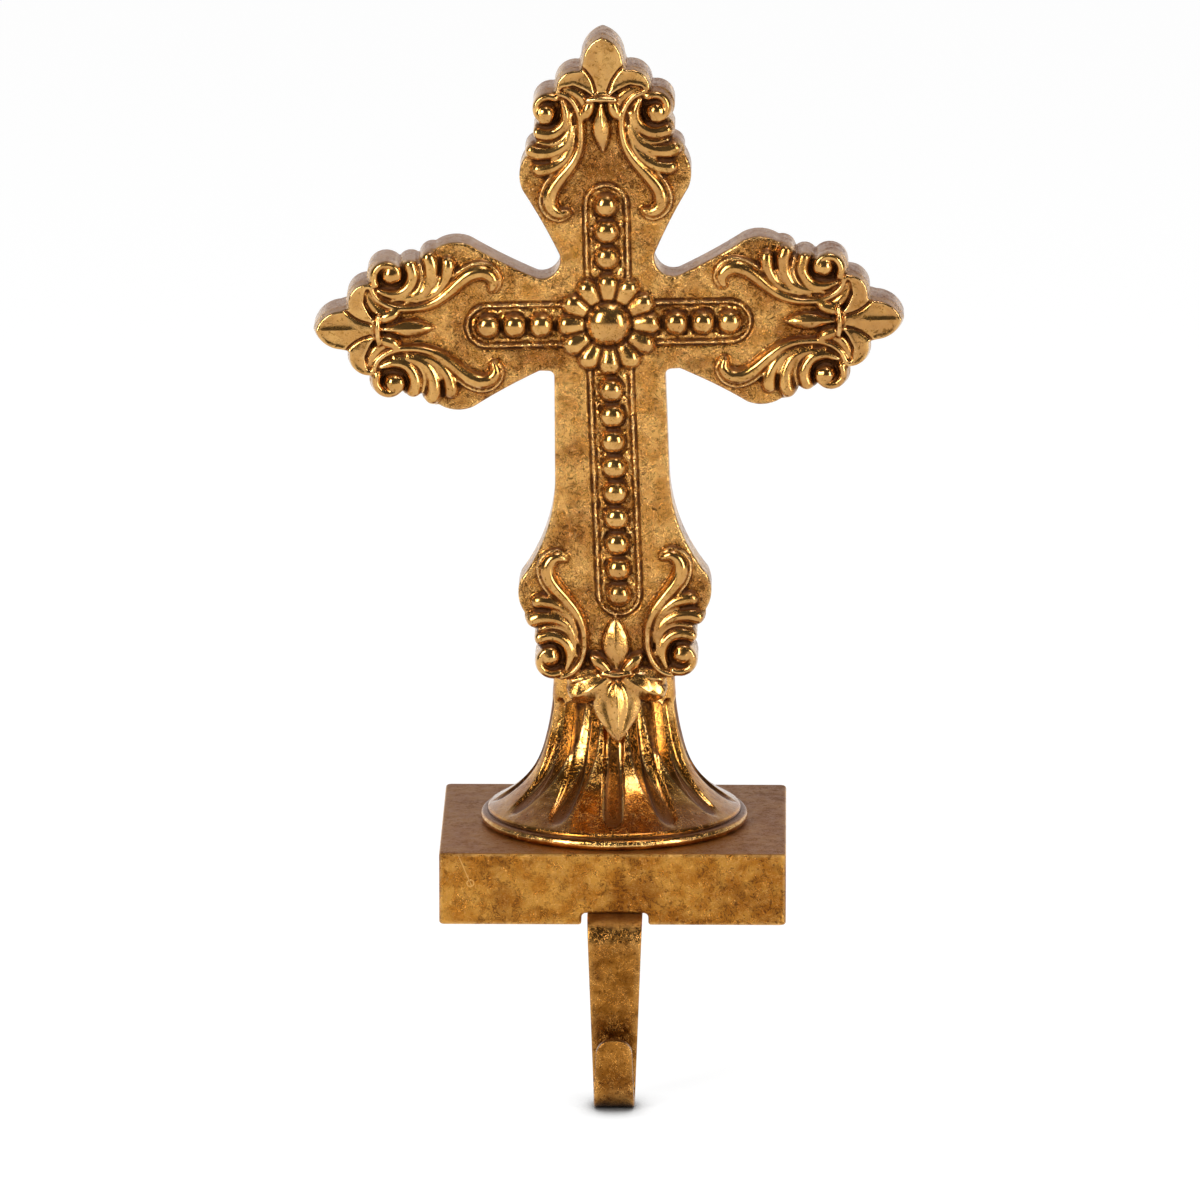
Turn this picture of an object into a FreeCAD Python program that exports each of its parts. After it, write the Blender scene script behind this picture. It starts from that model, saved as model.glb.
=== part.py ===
import FreeCAD, Part
import math
import os

V = FreeCAD.Vector

# Mantel stocking holder: a relief-cast cross on a fluted flaring pedestal,
# screwed to a heavy block that rests on the shelf, with a bent strap hook
# that hangs down in front of the shelf's edge.
# Millimetres. Origin: centre of the underside that rests on the shelf.
# +X right, -Y towards the viewer and the hook, +Z up.

# Base block
block_width = 101.6
block_depth = 84.7
block_height = 21.5
block_corner = 1.8
block_edge = 0.8

# Felt pad under the block
pad_thick = 1.0
pad_inset = 6.0
pad_corner = 3.0
pad_strap_gap = 2.0

# Slot in the block's underside for the tang of the strap
slot_width = 19.6
slot_depth = 3.5
slot_corner = 1.4
slot_end_gap = 1.0

# Strap hook
strap_thick = 2.8
strap_width = 16.2
strap_foot_width = 12.0
strap_offset = 0.7
tang_length = 30.0
bend_radius = 5.0
hook_drop = 51.5
hook_gap = 8.6
tongue_rise = 21.5
tongue_width = 10.6
tongue_corner = 4.4

# Countersunk screws that hold the strap
strap_screw_dia = 4.0
strap_screw_head = 7.6
strap_screw_head_height = 2.2
strap_screw_length = 13.0
strap_screw_pitch = 14.0
strap_screw_setback = 9.0
screw_clearance = 0.3

# Screw that ties the pedestal to the block
tie_screw_dia = 6.0
tie_head_dia = 11.0
tie_head_height = 3.8
tie_head_gap = 0.6
tie_sink = 6.0
tie_screw_length = 34.0

# Driver recesses
recess_width = 1.0
recess_depth = 1.1

# Pedestal
rim_radius = 39.5
rim_bead = 1.6
flare_foot_radius = 37.2
flare_rise = 1.2
waist_height = 22.5
waist_radius = 21.0
waist_half_depth = 12.6
neck_height = 45.5
neck_half_width = 17.9
neck_half_depth = 8.6

# Flutes
flute_count = 12
flute_share = 0.52
flute_depth = 1.7
flute_foot_height = 6.6
flute_head_gap = 8.5
flute_fade = 1.2

# Cross plate
plate_thick = 14.0
cross_centre_x = -1.6
cross_lean = 1.3
arm_volute_reach = 65.0
foot_volute_reach = 101.3
foot_widening = 3.3
arm_neck_half = 14.0
arm_neck_reach = 20.4
crotch_inset = 15.5
shaft_half_width = 16.3
shaft_crotch_radius = 1.6
shaft_straight = 45.0
shaft_taper = 0.5
shaft_flare_bow = 3.3
tenon_half_width = 10.0
tenon_depth = 5.0
neck_overlap = 1.2

# Scroll ornament at the end of each arm, drawn in ornament units
ornament_unit = 1.0
volute_spread = 15.3
volute_radius = 5.5
volute_band = 2.3
volute_ball = 3.0
volute_start_angle = 105.0
volute_turn_angle = 285.0
volute_steps = 9
relief_height = 3.0
relief_root = 0.8

# Bead row and its rail
bead_radius = 3.5
bead_rise = 3.0
bead_pitch = 7.8
first_bead_reach = 19.8
arm_bead_count = 3
shaft_bead_count = 9
rail_half_width = 6.4
rail_width = 1.1
rail_height = 1.0
shaft_row_slant = 0.9

# Flower
petal_count = 12
petal_inner = 6.2
petal_outer = 15.7
petal_half_width = 2.6
petal_height = 2.6
dome_radius = 6.7
dome_height = 4.2

# Facets round each boss and each countersunk head
dome_sides = 9
cone_sides = 20

# Places worked out from the sizes above
block_bottom = pad_thick
block_top = block_bottom + block_height
block_front = -block_depth / 2
slot_ceiling = block_bottom + slot_depth
strap_outer_bend = bend_radius + strap_thick
hook_bottom = block_bottom - hook_drop
face_y = -plate_thick / 2
cross_foot_reach = foot_volute_reach + volute_radius
cross_centre_z = block_top + neck_height - neck_overlap + cross_foot_reach
flute_head_height = neck_height - flute_head_gap


def line(start, end):
    return Part.LineSegment(start, end).toShape()


def arc(start, middle, end):
    return Part.Arc(start, middle, end).toShape()


def chain(runs):
    """Edges in the XZ plane: a run of two points is a line, of three an arc."""
    edges = []
    for run in runs:
        points = [V(x, 0, z) for x, z in run]
        edges.append(line(*points) if len(points) == 2 else arc(*points))
    return edges


def moved(runs, across, along):
    """Runs shifted outwards from the centre line and along the arm."""
    return [[(x + across, z + along) for x, z in run] for run in runs]


def turned_back(runs):
    return [list(reversed(run)) for run in reversed(runs)]


def plate_of(edges, thickness):
    wire = Part.Wire(Part.__sortEdges__(edges))
    return Part.Face(wire).extrude(V(0, thickness, 0))


def mirrored(shape):
    return shape.mirror(V(0, 0, 0), V(1, 0, 0))


def spun(shape, degrees):
    """Copy turned clockwise, as seen from the front, about the flower."""
    copy = shape.copy()
    copy.rotate(V(0, 0, 0), V(0, 1, 0), degrees)
    return copy


def fused(shapes):
    return shapes[0].multiFuse(shapes[1:]) if len(shapes) > 1 else shapes[0]


def facet(corners):
    return Part.Face(Part.makePolygon(corners + [corners[0]]))


def quad(a, b, c, d):
    """Flat face through four corners, or two triangles where they aren't level."""
    normal = (b - a).cross(c - a)
    if abs(normal.dot(d - a)) < 1e-6 * max(normal.Length, 1e-6):
        return [facet([a, b, c, d])]
    return [facet([a, b, c]), facet([a, c, d])]


def solid_through(rings):
    """Closed solid with flat facets between rings of the same number of points."""
    faces = [facet(rings[0]), facet(rings[-1])]
    count = len(rings[0])
    for low, high in zip(rings, rings[1:]):
        for i in range(count):
            j = (i + 1) % count
            faces += quad(low[i], low[j], high[j], high[i])
    shell = Part.makeShell(faces)
    shell.sewShape()
    solid = Part.makeSolid(shell)
    return solid if solid.Volume > 0 else solid.reversed()


# Outline of the cross, one half of each arm, seen from the front.
# Points are (across, along), measured from the volute's centre line.

def at(across, along):
    """Point of the ornament's drawing, in millimetres."""
    return (across * ornament_unit, along * ornament_unit)


def drawn(stations):
    """Stations of the ornament's drawing, with all but their heights in its units."""
    return [(*at(x, z), half * ornament_unit, height) for x, z, half, height in stations]


def on_volute(degrees):
    angle = math.radians(degrees)
    return (volute_spread + volute_radius * math.cos(angle), volute_radius * math.sin(angle))


def scroll_outline():
    """From the corner beside the tip leaf down to the shoulder of the arm."""
    petal_root = at(7.0, 11.6)
    first_notch = on_volute(-48)
    second_notch = at(19.8, -9.8)
    third_notch = at(23.3, -14.7)
    shoulder = at(24.2, -25.0)
    return [
        [petal_root, at(12.3, 10.0), on_volute(100)],
        [on_volute(100), on_volute(20), first_notch],
        [first_notch, at(20.7, -7.3), second_notch],
        [second_notch, at(22.6, -11.4), third_notch],
        [third_notch, at(25.1, -19.8), shoulder],
    ]


def tip_outline():
    """From the point of the tip leaf to the corner beside it."""
    leaf_side = at(6.4, 13.5)
    return [[at(0, 21.5), at(4.4, 18.6), leaf_side], [leaf_side, at(7.0, 11.6)]]


def arm_outline():
    runs = moved(tip_outline() + scroll_outline(), 0, arm_volute_reach)
    shoulder = runs[-1][-1]
    return runs + [[shoulder, (arm_neck_half, arm_neck_reach)]]


def foot_outline():
    """From the crotch down the shaft and round the lower scroll."""
    runs = turned_back(moved(scroll_outline()[1:], foot_widening, foot_volute_reach))
    shoulder = runs[0][0]
    straight_end = (shaft_half_width + shaft_taper, shaft_straight)
    start = (shaft_half_width, arm_neck_half + shaft_crotch_radius)
    middle = ((straight_end[0] + shoulder[0]) / 2, (straight_end[1] + shoulder[1]) / 2)
    run_x = shoulder[0] - straight_end[0]
    run_z = shoulder[1] - straight_end[1]
    run = math.hypot(run_x, run_z)
    bowed = (middle[0] - shaft_flare_bow * run_z / run, middle[1] + shaft_flare_bow * run_x / run)
    lines = [[start, straight_end], [straight_end, bowed, shoulder]]
    volute_end = runs[-1][-1]
    corner = (tenon_half_width, volute_end[1])
    tenon_corner = (tenon_half_width, cross_foot_reach + tenon_depth)
    tenon = [[volute_end, corner], [corner, tenon_corner], [tenon_corner, (0, tenon_corner[1])]]
    return lines + runs + tenon


def plate_half_outline():
    """Right half of the whole cross, from the top point to the tenon."""
    top = arm_outline()
    side_lower = [[(z, -x) for x, z in run] for run in top]
    side_upper = [[(z, x) for x, z in run] for run in turned_back(top)]
    foot = [[(x, -z) for x, z in run] for run in foot_outline()]
    neck = top[-1][-1]
    crotch = [[neck, (crotch_inset, crotch_inset), (neck[1], neck[0])]]
    side_neck = side_lower[-1][-1]
    corner_x = shaft_half_width + shaft_crotch_radius
    round_in = shaft_crotch_radius * (1 - math.sqrt(0.5))
    low_middle = (shaft_half_width + round_in, -arm_neck_half - round_in)
    low_crotch = [
        [side_neck, (corner_x, -arm_neck_half)],
        [(corner_x, -arm_neck_half), low_middle, foot[0][0]],
    ]
    return top + crotch + side_upper + side_lower + low_crotch + foot


def cross_plate():
    half = chain(plate_half_outline())
    other = [mirrored(edge) for edge in half]
    return plate_of(half + other, plate_thick).translated(V(0, face_y, 0))


# Relief on the front face

ROUND_ARCH = ((-1.0, 0.0), (-0.62, 0.8), (0.0, 1.0), (0.62, 0.8), (1.0, 0.0))
KEELED_ARCH = ((-1.0, 0.0), (-0.6, 0.55), (0.0, 1.0), (0.6, 0.55), (1.0, 0.0))
LOW_ARCH = ((-1.0, 0.0), (-0.4, 1.0), (0.4, 1.0), (1.0, 0.0))


def section(centre, across, half_width, height, arch):
    """Corners of a raised form, whose root is sunk in the plate."""
    points = [centre + across * half_width * a - V(0, height * h, 0) for a, h in arch]
    root = V(0, relief_root, 0)
    return points + [points[-1] + root, points[0] + root]


def ridge(stations, arch=ROUND_ARCH):
    """Raised form through stations of (across, along, half width, height)."""
    points = [V(x, face_y, z) for x, z, half_width, height in stations]
    curve = Part.BSplineCurve()
    curve.interpolate(points)
    rings = []
    for point, station in zip(points, stations):
        tangent = curve.tangent(curve.parameter(point))[0]
        across = V(tangent.z, 0, -tangent.x)
        across.normalize()
        rings.append(section(point, across, station[2], station[3], arch))
    return solid_through(rings)


def dome(x, z, radius, rise):
    """Facetted round boss, whose edge leaves the face at the given radius."""
    tiers = ((1.08, -relief_root), (0.84, 0.62 * rise), (0.42, rise))
    rings = []
    for share, height in tiers:
        corners = []
        for i in range(dome_sides):
            angle = 2 * math.pi * i / dome_sides
            reach = radius * share
            corners.append(V(x + reach * math.sin(angle), face_y - height, z + reach * math.cos(angle)))
        rings.append(corners)
    return solid_through(rings)


def volute():
    """Band curled round a ball, at the end of a scroll."""
    centre_radius = volute_radius - volute_band / 2
    rings = []
    for i in range(volute_steps + 1):
        angle = math.radians(volute_start_angle - volute_turn_angle * i / volute_steps)
        across = V(math.cos(angle), 0, math.sin(angle))
        place = V(volute_spread, face_y, 0) + across * centre_radius
        rings.append(section(place, across, volute_band / 2, relief_height, LOW_ARCH))
    return [solid_through(rings), dome(volute_spread + 0.2, -0.4, volute_ball, relief_height)]


def stem():
    """S-shaped scroll stem from the volute to its hooked lower end."""
    start = math.radians(volute_start_angle)
    centre_radius = volute_radius - volute_band / 2
    joint_x = volute_spread + centre_radius * math.cos(start)
    joint_z = centre_radius * math.sin(start)
    joint = (joint_x + 0.4, joint_z + 0.1, volute_band / 2, relief_height * 0.97)
    return ridge([joint] + drawn([
        (11.6, 3.6, 1.1, relief_height * 0.9),
        (7.2, -0.8, 1.15, relief_height * 0.85),
        (5.8, -7.4, 1.3, relief_height * 0.85),
        (9.2, -16.6, 1.95, relief_height),
        (13.6, -21.5, 2.4, relief_height),
        (16.3, -26.2, 2.5, relief_height),
        (15.8, -30.4, 2.35, relief_height * 0.95),
        (13.2, -32.2, 2.1, relief_height * 0.85),
        (11.0, -31.6, 1.5, relief_height * 0.6),
    ]))


def lobe(start, bend, bulb):
    """Curved leaf lobe that starts thin at the stem and ends in a round bulb."""
    low = relief_height * 0.5
    high = relief_height * 0.9
    x, z, radius, aim = bulb
    angle = math.radians(aim)
    end = (x + radius * 0.9 * math.cos(angle), z + radius * 0.9 * math.sin(angle))
    return ridge(drawn([
        (start[0], start[1], 0.7, low),
        (bend[0], bend[1], 1.15, relief_height * 0.7),
        (x, z, radius, high),
        (end[0], end[1], radius * 0.5, low),
    ]), LOW_ARCH)


def lobes():
    return [
        lobe((9.2, -3.6), (12.2, -8.2), (18.2, -7.6, 1.9, 20)),
        lobe((7.8, -7.8), (12.4, -12.4), (20.4, -12.7, 2.1, 8)),
        lobe((8.2, -11.4), (12.8, -15.8), (18.9, -17.5, 1.9, -8)),
    ]


def half_scroll():
    return volute() + [stem()] + lobes()


def side_petal():
    """Curling side petal of the lily."""
    return ridge(drawn([
        (2.0, 4.6, 0.9, relief_height * 0.6),
        (4.6, 7.4, 2.1, relief_height * 0.85),
        (8.4, 8.7, 2.4, relief_height * 0.85),
        (11.8, 7.4, 1.9, relief_height * 0.7),
        (13.2, 4.9, 0.8, relief_height * 0.5),
    ]), KEELED_ARCH)


def foot_curl():
    """Small curl below the band of the lily."""
    return ridge(drawn([
        (1.6, 1.2, 1.0, relief_height * 0.7),
        (2.9, -2.0, 1.5, relief_height * 0.8),
        (5.2, -3.9, 1.2, relief_height * 0.8),
    ]))


def tip_leaf():
    """Middle leaf of the lily, pointed and keeled."""
    return ridge(drawn([
        (0, 3.4, 0.9, relief_height * 0.6),
        (0, 7.0, 2.4, relief_height * 0.75),
        (0, 10.6, 5.6, relief_height * 0.85),
        (0, 14.0, 5.9, relief_height * 0.85),
        (0, 17.6, 4.4, relief_height * 0.75),
        (0, 20.4, 1.5, relief_height * 0.5),
    ]), KEELED_ARCH)


def waist_band():
    """Band that ties the lily."""
    return ridge(drawn([
        (-4.2, 2.3, 0.8, relief_height * 0.9),
        (0, 2.4, 1.0, relief_height * 1.15),
        (4.2, 2.3, 0.8, relief_height * 0.9),
    ]))


def spike():
    """Narrow leaf that points back down the arm."""
    return ridge(drawn([
        (0, 1.0, 1.0, relief_height * 0.8),
        (0, -3.4, 1.9, relief_height * 0.85),
        (0, -7.6, 2.5, relief_height * 0.85),
        (0, -13.2, 0.5, relief_height * 0.4),
    ]), KEELED_ARCH)


def scroll_pair():
    """Both scrolls of an arm, as separate overlapping solids."""
    half = half_scroll()
    return half + [mirrored(piece) for piece in half]


def lily():
    petals = [side_petal(), foot_curl()]
    return petals + [mirrored(piece) for piece in petals] + [tip_leaf(), waist_band(), spike()]


def arm_ornament():
    return fused(scroll_pair() + lily()).translated(V(0, 0, arm_volute_reach))


# Beads, rail and flower

def rail(row_end):
    """Raised border round a row of beads, with a round outer end."""
    start = petal_outer - 2 * rail_width
    centre = row_end - rail_half_width

    def stadium(half_width):
        return Part.Wire(chain([
            [(-half_width, start), (-half_width, centre)],
            [(-half_width, centre), (0, centre + half_width), (half_width, centre)],
            [(half_width, centre), (half_width, start)],
            [(half_width, start), (-half_width, start)],
        ]))
    outer = Part.Face(stadium(rail_half_width))
    inner = Part.Face(stadium(rail_half_width - rail_width))
    height = V(0, rail_height + relief_root, 0)
    frame = outer.extrude(height).cut(inner.extrude(height))
    return frame.translated(V(0, face_y - rail_height, 0))


def bead_row(count):
    """Beads of one arm, with the rail round them."""
    last = first_bead_reach + (count - 1) * bead_pitch
    row = [dome(0, first_bead_reach + i * bead_pitch, bead_radius, bead_rise) for i in range(count)]
    return row + [rail(last + rail_half_width)]


def petal(degrees):
    mid = (petal_inner + petal_outer) / 2
    shape = ridge([
        (0, petal_inner, petal_half_width * 0.5, petal_height * 0.7),
        (0, mid + 1.4, petal_half_width, petal_height),
        (0, petal_outer - 1.2, petal_half_width * 0.7, petal_height * 0.8),
        (0, petal_outer, petal_half_width * 0.25, petal_height * 0.3),
    ])
    return spun(shape, degrees)


def flower():
    petals = [petal(i * 360 / petal_count) for i in range(petal_count)]
    return petals + [dome(0, 0, dome_radius, dome_height)]


# Pedestal

def flare(height):
    """Half width and half depth of the pedestal at a height above the block."""
    foot = rim_bead * 2 + flare_rise
    if height >= waist_height:
        share = (height - waist_height) / (neck_height - waist_height)
        ease = 1 - (1 - share) ** 2
        width = waist_radius + (neck_half_width - waist_radius) * ease
        depth = waist_half_depth + (neck_half_depth - waist_half_depth) * ease
        return width, depth
    share = min((waist_height - height) / (waist_height - foot), 1)
    width = waist_radius + (flare_foot_radius - waist_radius) * (0.33 * share + 0.67 * share ** 2.6)
    depth = waist_half_depth + (flare_foot_radius - waist_half_depth) * (0.42 * share + 0.58 * share ** 2.2)
    return width, depth


def fluted_ring(height, width, depth, cut):
    """Level ring of the pedestal: lands between grooves of the given depth share."""
    pitch = 2 * math.pi / flute_count
    groove = flute_share * pitch / 2
    sink = flute_depth * cut
    points = []
    for i in range(flute_count):
        middle = i * pitch
        for turn, inset in ((-1.0, 0), (-0.5, sink), (0.5, sink), (1.0, 0)):
            angle = middle + turn * groove
            x = (width - inset) * math.sin(angle)
            points.append(V(x, -(depth - inset) * math.cos(angle), block_top + height))
        land = middle + pitch / 2
        points.append(V(width * math.sin(land), -depth * math.cos(land), block_top + height))
    return points


def pedestal_body():
    """Round rim and flaring column, whose flutes fade out at both ends."""
    edge = rim_radius - rim_bead
    bead = [(edge, 0), (rim_radius, rim_bead * 0.7), (rim_radius, rim_bead * 1.4), (edge, rim_bead * 2)]
    rings = [fluted_ring(height, radius, radius, 0) for radius, height in bead]
    head = flute_head_height
    foot = flute_foot_height
    bend = waist_height - foot
    stations = [
        (foot - flute_fade, 0), (foot, 1), (foot + bend * 0.25, 1), (foot + bend * 0.6, 1),
        (waist_height, 1), (head - flute_fade, 1), (head + flute_fade, 0), (neck_height, 0),
    ]
    for height, cut in stations:
        width, depth = flare(height)
        rings.append(fluted_ring(height, width, depth, cut))
    return solid_through(rings)


def tie_hole():
    """Blind hole in the pedestal's foot for the tie screw."""
    base = block_bottom + tie_sink
    return Part.makeCylinder(tie_screw_dia / 2, tie_screw_length + 1.0, V(0, 0, base))


def pedestal():
    return pedestal_body().cut(tie_hole())


# Whole casting

def foot_lily():
    """Lily at the foot of the cross, whose leaf laps over the pedestal's neck."""
    petals = [side_petal(), foot_curl()]
    petals += [mirrored(piece) for piece in petals]
    leaf = ridge(drawn([
        (0, 3.4, 0.9, relief_height * 0.75),
        (0, 7.0, 2.6, relief_height),
        (0, 11.0, 5.8, relief_height * 1.2),
        (0, 14.6, 6.2, relief_height * 1.4),
        (0, 18.4, 4.4, relief_height * 1.65),
        (0, 22.6, 1.0, relief_height * 1.8),
    ]), KEELED_ARCH)
    return petals + [leaf, waist_band(), foot_spike()]


def foot_spike():
    """Wide leaf that runs up the shaft from the foot lily."""
    return ridge(drawn([
        (0, 1.0, 1.2, relief_height * 0.8),
        (0, -3.4, 2.8, relief_height * 0.85),
        (0, -7.6, 3.8, relief_height * 0.85),
        (0, -13.2, 0.5, relief_height * 0.4),
    ]), KEELED_ARCH)


def foot_ornament():
    half = [piece.translated(V(foot_widening, 0, 0)) for piece in half_scroll()]
    scrolls = half + [mirrored(piece) for piece in half]
    return fused(scrolls + foot_lily()).translated(V(0, 0, foot_volute_reach))


def on_casting(shape):
    """Shape placed from the flower's centre to its leaning place on the pedestal."""
    copy = shape.copy()
    copy.rotate(V(0, 0, 0), V(0, 1, 0), -cross_lean)
    copy.translate(V(cross_centre_x, 0, cross_centre_z))
    return copy


def build_cross_casting():
    casting = pedestal().fuse(on_casting(cross_plate()))
    rows = flower()
    for turn in (0, 90, 270):
        rows += [spun(piece, turn) for piece in bead_row(arm_bead_count)]
    rows += [spun(piece, 180 - shaft_row_slant) for piece in bead_row(shaft_bead_count)]
    casting = casting.multiFuse([on_casting(piece) for piece in rows])
    casting = casting.fuse(on_casting(spun(foot_ornament(), 180)))
    arm = arm_ornament()
    return casting.multiFuse([on_casting(spun(arm, turn)) for turn in (0, 90, 270)])


# Base block

def build_base_block():
    corner = V(-block_width / 2, block_front, block_bottom)
    block = Part.makeBox(block_width, block_depth, block_height, corner)
    upright = [e for e in block.Edges if abs(e.BoundBox.ZLength - block_height) < 0.01]
    block = block.makeFillet(block_corner, upright)
    rims = [e for e in block.Edges if e.BoundBox.ZLength < 0.01]
    block = block.makeChamfer(block_edge, rims)
    return block.cut([strap_slot(), tie_bore()] + [screw_hole(y) for y in strap_screw_rows()])


def strap_slot():
    """Slot along the underside, open at the front, with rounded upper corners."""
    half = slot_width / 2
    low = -pad_thick
    rise = slot_ceiling - slot_corner
    bend = slot_corner * (1 - math.sqrt(0.5))
    outline = chain([
        [(-half, low), (-half, rise)],
        [(-half, rise), (-half + bend, slot_ceiling - bend), (-half + slot_corner, slot_ceiling)],
        [(-half + slot_corner, slot_ceiling), (half - slot_corner, slot_ceiling)],
        [(half - slot_corner, slot_ceiling), (half - bend, slot_ceiling - bend), (half, rise)],
        [(half, rise), (half, low)],
        [(half, low), (-half, low)],
    ])
    length = tang_length + slot_end_gap
    start = V(strap_offset, block_front - slot_end_gap, 0)
    return plate_of(outline, length + slot_end_gap).translated(start)


def tie_bore():
    """Counterbore and clearance hole for the tie screw."""
    head = Part.makeCylinder(tie_head_dia / 2 + tie_head_gap, tie_sink, V(0, 0, block_bottom))
    shank = Part.makeCylinder(tie_screw_dia / 2 + screw_clearance, block_height, V(0, 0, block_bottom))
    return head.fuse(shank)


def strap_screw_rows():
    first = block_front + strap_screw_setback
    return [first, first + strap_screw_pitch]


def screw_hole(y):
    depth = strap_screw_length - strap_thick + 1.0
    return Part.makeCylinder(strap_screw_dia / 2, depth, V(strap_offset, y, slot_ceiling))


# Strap hook

def strap_profile():
    """Side view of the strap: tang, bend, drop, hook bend and tongue."""
    under = slot_ceiling - strap_thick
    back = block_front + tang_length
    bend_z = slot_ceiling - strap_outer_bend
    drop_front = block_front - strap_outer_bend
    drop_back = block_front - bend_radius
    inner = hook_gap / 2
    outer = inner + strap_thick
    crook_y = drop_front - inner
    crook_z = hook_bottom + outer
    tongue_top = hook_bottom + tongue_rise
    half = math.sqrt(0.5)

    def p(y, z):
        return V(0, y, z)

    top_middle = p(block_front - strap_outer_bend * half, bend_z + strap_outer_bend * half)
    low_middle = p(block_front - bend_radius * half, bend_z + bend_radius * half)
    return Part.Wire([
        line(p(back, slot_ceiling), p(block_front, slot_ceiling)),
        arc(p(block_front, slot_ceiling), top_middle, p(drop_front, bend_z)),
        line(p(drop_front, bend_z), p(drop_front, crook_z)),
        arc(p(drop_front, crook_z), p(crook_y, crook_z - inner), p(crook_y - inner, crook_z)),
        line(p(crook_y - inner, crook_z), p(crook_y - inner, tongue_top)),
        line(p(crook_y - inner, tongue_top), p(crook_y - outer, tongue_top)),
        line(p(crook_y - outer, tongue_top), p(crook_y - outer, crook_z)),
        arc(p(crook_y - outer, crook_z), p(crook_y, crook_z - outer), p(crook_y + outer, crook_z)),
        line(p(drop_back, crook_z), p(drop_back, bend_z)),
        arc(p(drop_back, bend_z), low_middle, p(block_front, under)),
        line(p(block_front, under), p(back, under)),
        line(p(back, under), p(back, slot_ceiling)),
    ])


def drop_outline():
    """Front view of the tang and drop, which narrows towards the hook bend."""
    top = strap_width / 2
    foot = strap_foot_width / 2
    return chain([
        [(-foot, hook_bottom), (-top, slot_ceiling)],
        [(-top, slot_ceiling), (top, slot_ceiling)],
        [(top, slot_ceiling), (foot, hook_bottom)],
        [(foot, hook_bottom), (-foot, hook_bottom)],
    ])


def tongue_outline():
    """Front view of the upturned tongue, with a round top."""
    foot = strap_foot_width / 2
    half = tongue_width / 2
    top = hook_bottom + tongue_rise
    shoulder = top - tongue_corner
    bend = tongue_corner * (1 - math.sqrt(0.5))
    return chain([
        [(-foot, hook_bottom), (-half, shoulder)],
        [(-half, shoulder), (-half + bend, top - bend), (-half + tongue_corner, top)],
        [(-half + tongue_corner, top), (half - tongue_corner, top)],
        [(half - tongue_corner, top), (half - bend, top - bend), (half, shoulder)],
        [(half, shoulder), (foot, hook_bottom)],
        [(foot, hook_bottom), (-foot, hook_bottom)],
    ])


def build_hook_strap():
    width = V(strap_width, 0, 0)
    bent = Part.Face(strap_profile()).extrude(width).translated(-width / 2)
    crook_y = block_front - strap_outer_bend - hook_gap / 2
    reach = hook_gap + 2 * strap_thick
    drop = plate_of(drop_outline(), tang_length + reach + bend_radius).translated(V(0, crook_y, 0))
    tongue = plate_of(tongue_outline(), reach).translated(V(0, crook_y - reach, 0))
    strap = bent.common(drop).fuse(bent.common(tongue)).removeSplitter()
    strap.translate(V(strap_offset, 0, 0))
    return strap.cut([countersink(y) for y in strap_screw_rows()])


def screw_cone(centre):
    """Facetted cone from the screw head's rim up to its shank."""
    rings = []
    for radius, height in ((strap_screw_head / 2, 0), (strap_screw_dia / 2, strap_screw_head_height)):
        corners = []
        for i in range(cone_sides):
            angle = 2 * math.pi * i / cone_sides
            corners.append(centre + V(radius * math.cos(angle), radius * math.sin(angle), height))
        rings.append(corners)
    return solid_through(rings)


def countersink(y):
    under = slot_ceiling - strap_thick
    centre = V(strap_offset, y, under)
    cone = screw_cone(centre)
    shank = Part.makeCylinder(strap_screw_dia / 2 + screw_clearance / 2, strap_thick, centre)
    return cone.fuse(shank)


# Fasteners

def driver_recess(centre, length):
    """Cross recess in the underside of a screw head."""
    half = recess_width / 2
    first = Part.makeBox(length, recess_width, recess_depth, centre - V(length / 2, half, 0))
    second = Part.makeBox(recess_width, length, recess_depth, centre - V(half, length / 2, 0))
    return first.fuse(second)


def strap_screw(y):
    centre = V(strap_offset, y, slot_ceiling - strap_thick)
    head = screw_cone(centre)
    shank = Part.makeCylinder(strap_screw_dia / 2, strap_screw_length, centre)
    return head.fuse(shank).removeSplitter().cut(driver_recess(centre, strap_screw_head * 0.6))


def build_hook_screws():
    return Part.makeCompound([strap_screw(y) for y in strap_screw_rows()])


def build_pedestal_screw():
    seat = block_bottom + tie_sink
    centre = V(0, 0, seat - tie_head_height)
    head = Part.makeCylinder(tie_head_dia / 2, tie_head_height, centre)
    shank = Part.makeCylinder(tie_screw_dia / 2, tie_screw_length, V(0, 0, seat))
    return head.fuse(shank).removeSplitter().cut(driver_recess(centre, tie_head_dia * 0.6))


# Pad

def build_felt_pad():
    width = block_width - 2 * pad_inset
    depth = block_depth - 2 * pad_inset
    pad = Part.makeBox(width, depth, pad_thick, V(-width / 2, -depth / 2, 0))
    corners = [e for e in pad.Edges if abs(e.BoundBox.ZLength - pad_thick) < 0.01]
    pad = pad.makeFillet(pad_corner, corners)
    notch_width = slot_width + 2 * pad_strap_gap
    notch_length = tang_length + slot_end_gap + pad_strap_gap
    notch = Part.makeBox(notch_width, notch_length, pad_thick)
    return pad.cut(notch.translated(V(strap_offset - notch_width / 2, block_front, 0)))


NODES = {
    "cross_casting": build_cross_casting,
    "base_block": build_base_block,
    "hook_strap": build_hook_strap,
    "hook_screws": build_hook_screws,
    "pedestal_screw": build_pedestal_screw,
    "felt_pad": build_felt_pad,
}

if __name__ == "__main__":
    os.makedirs("parts", exist_ok=True)
    for name, build in NODES.items():
        build().exportStep(f"parts/{name}.step")
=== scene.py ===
import math
from contextlib import contextmanager

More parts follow.
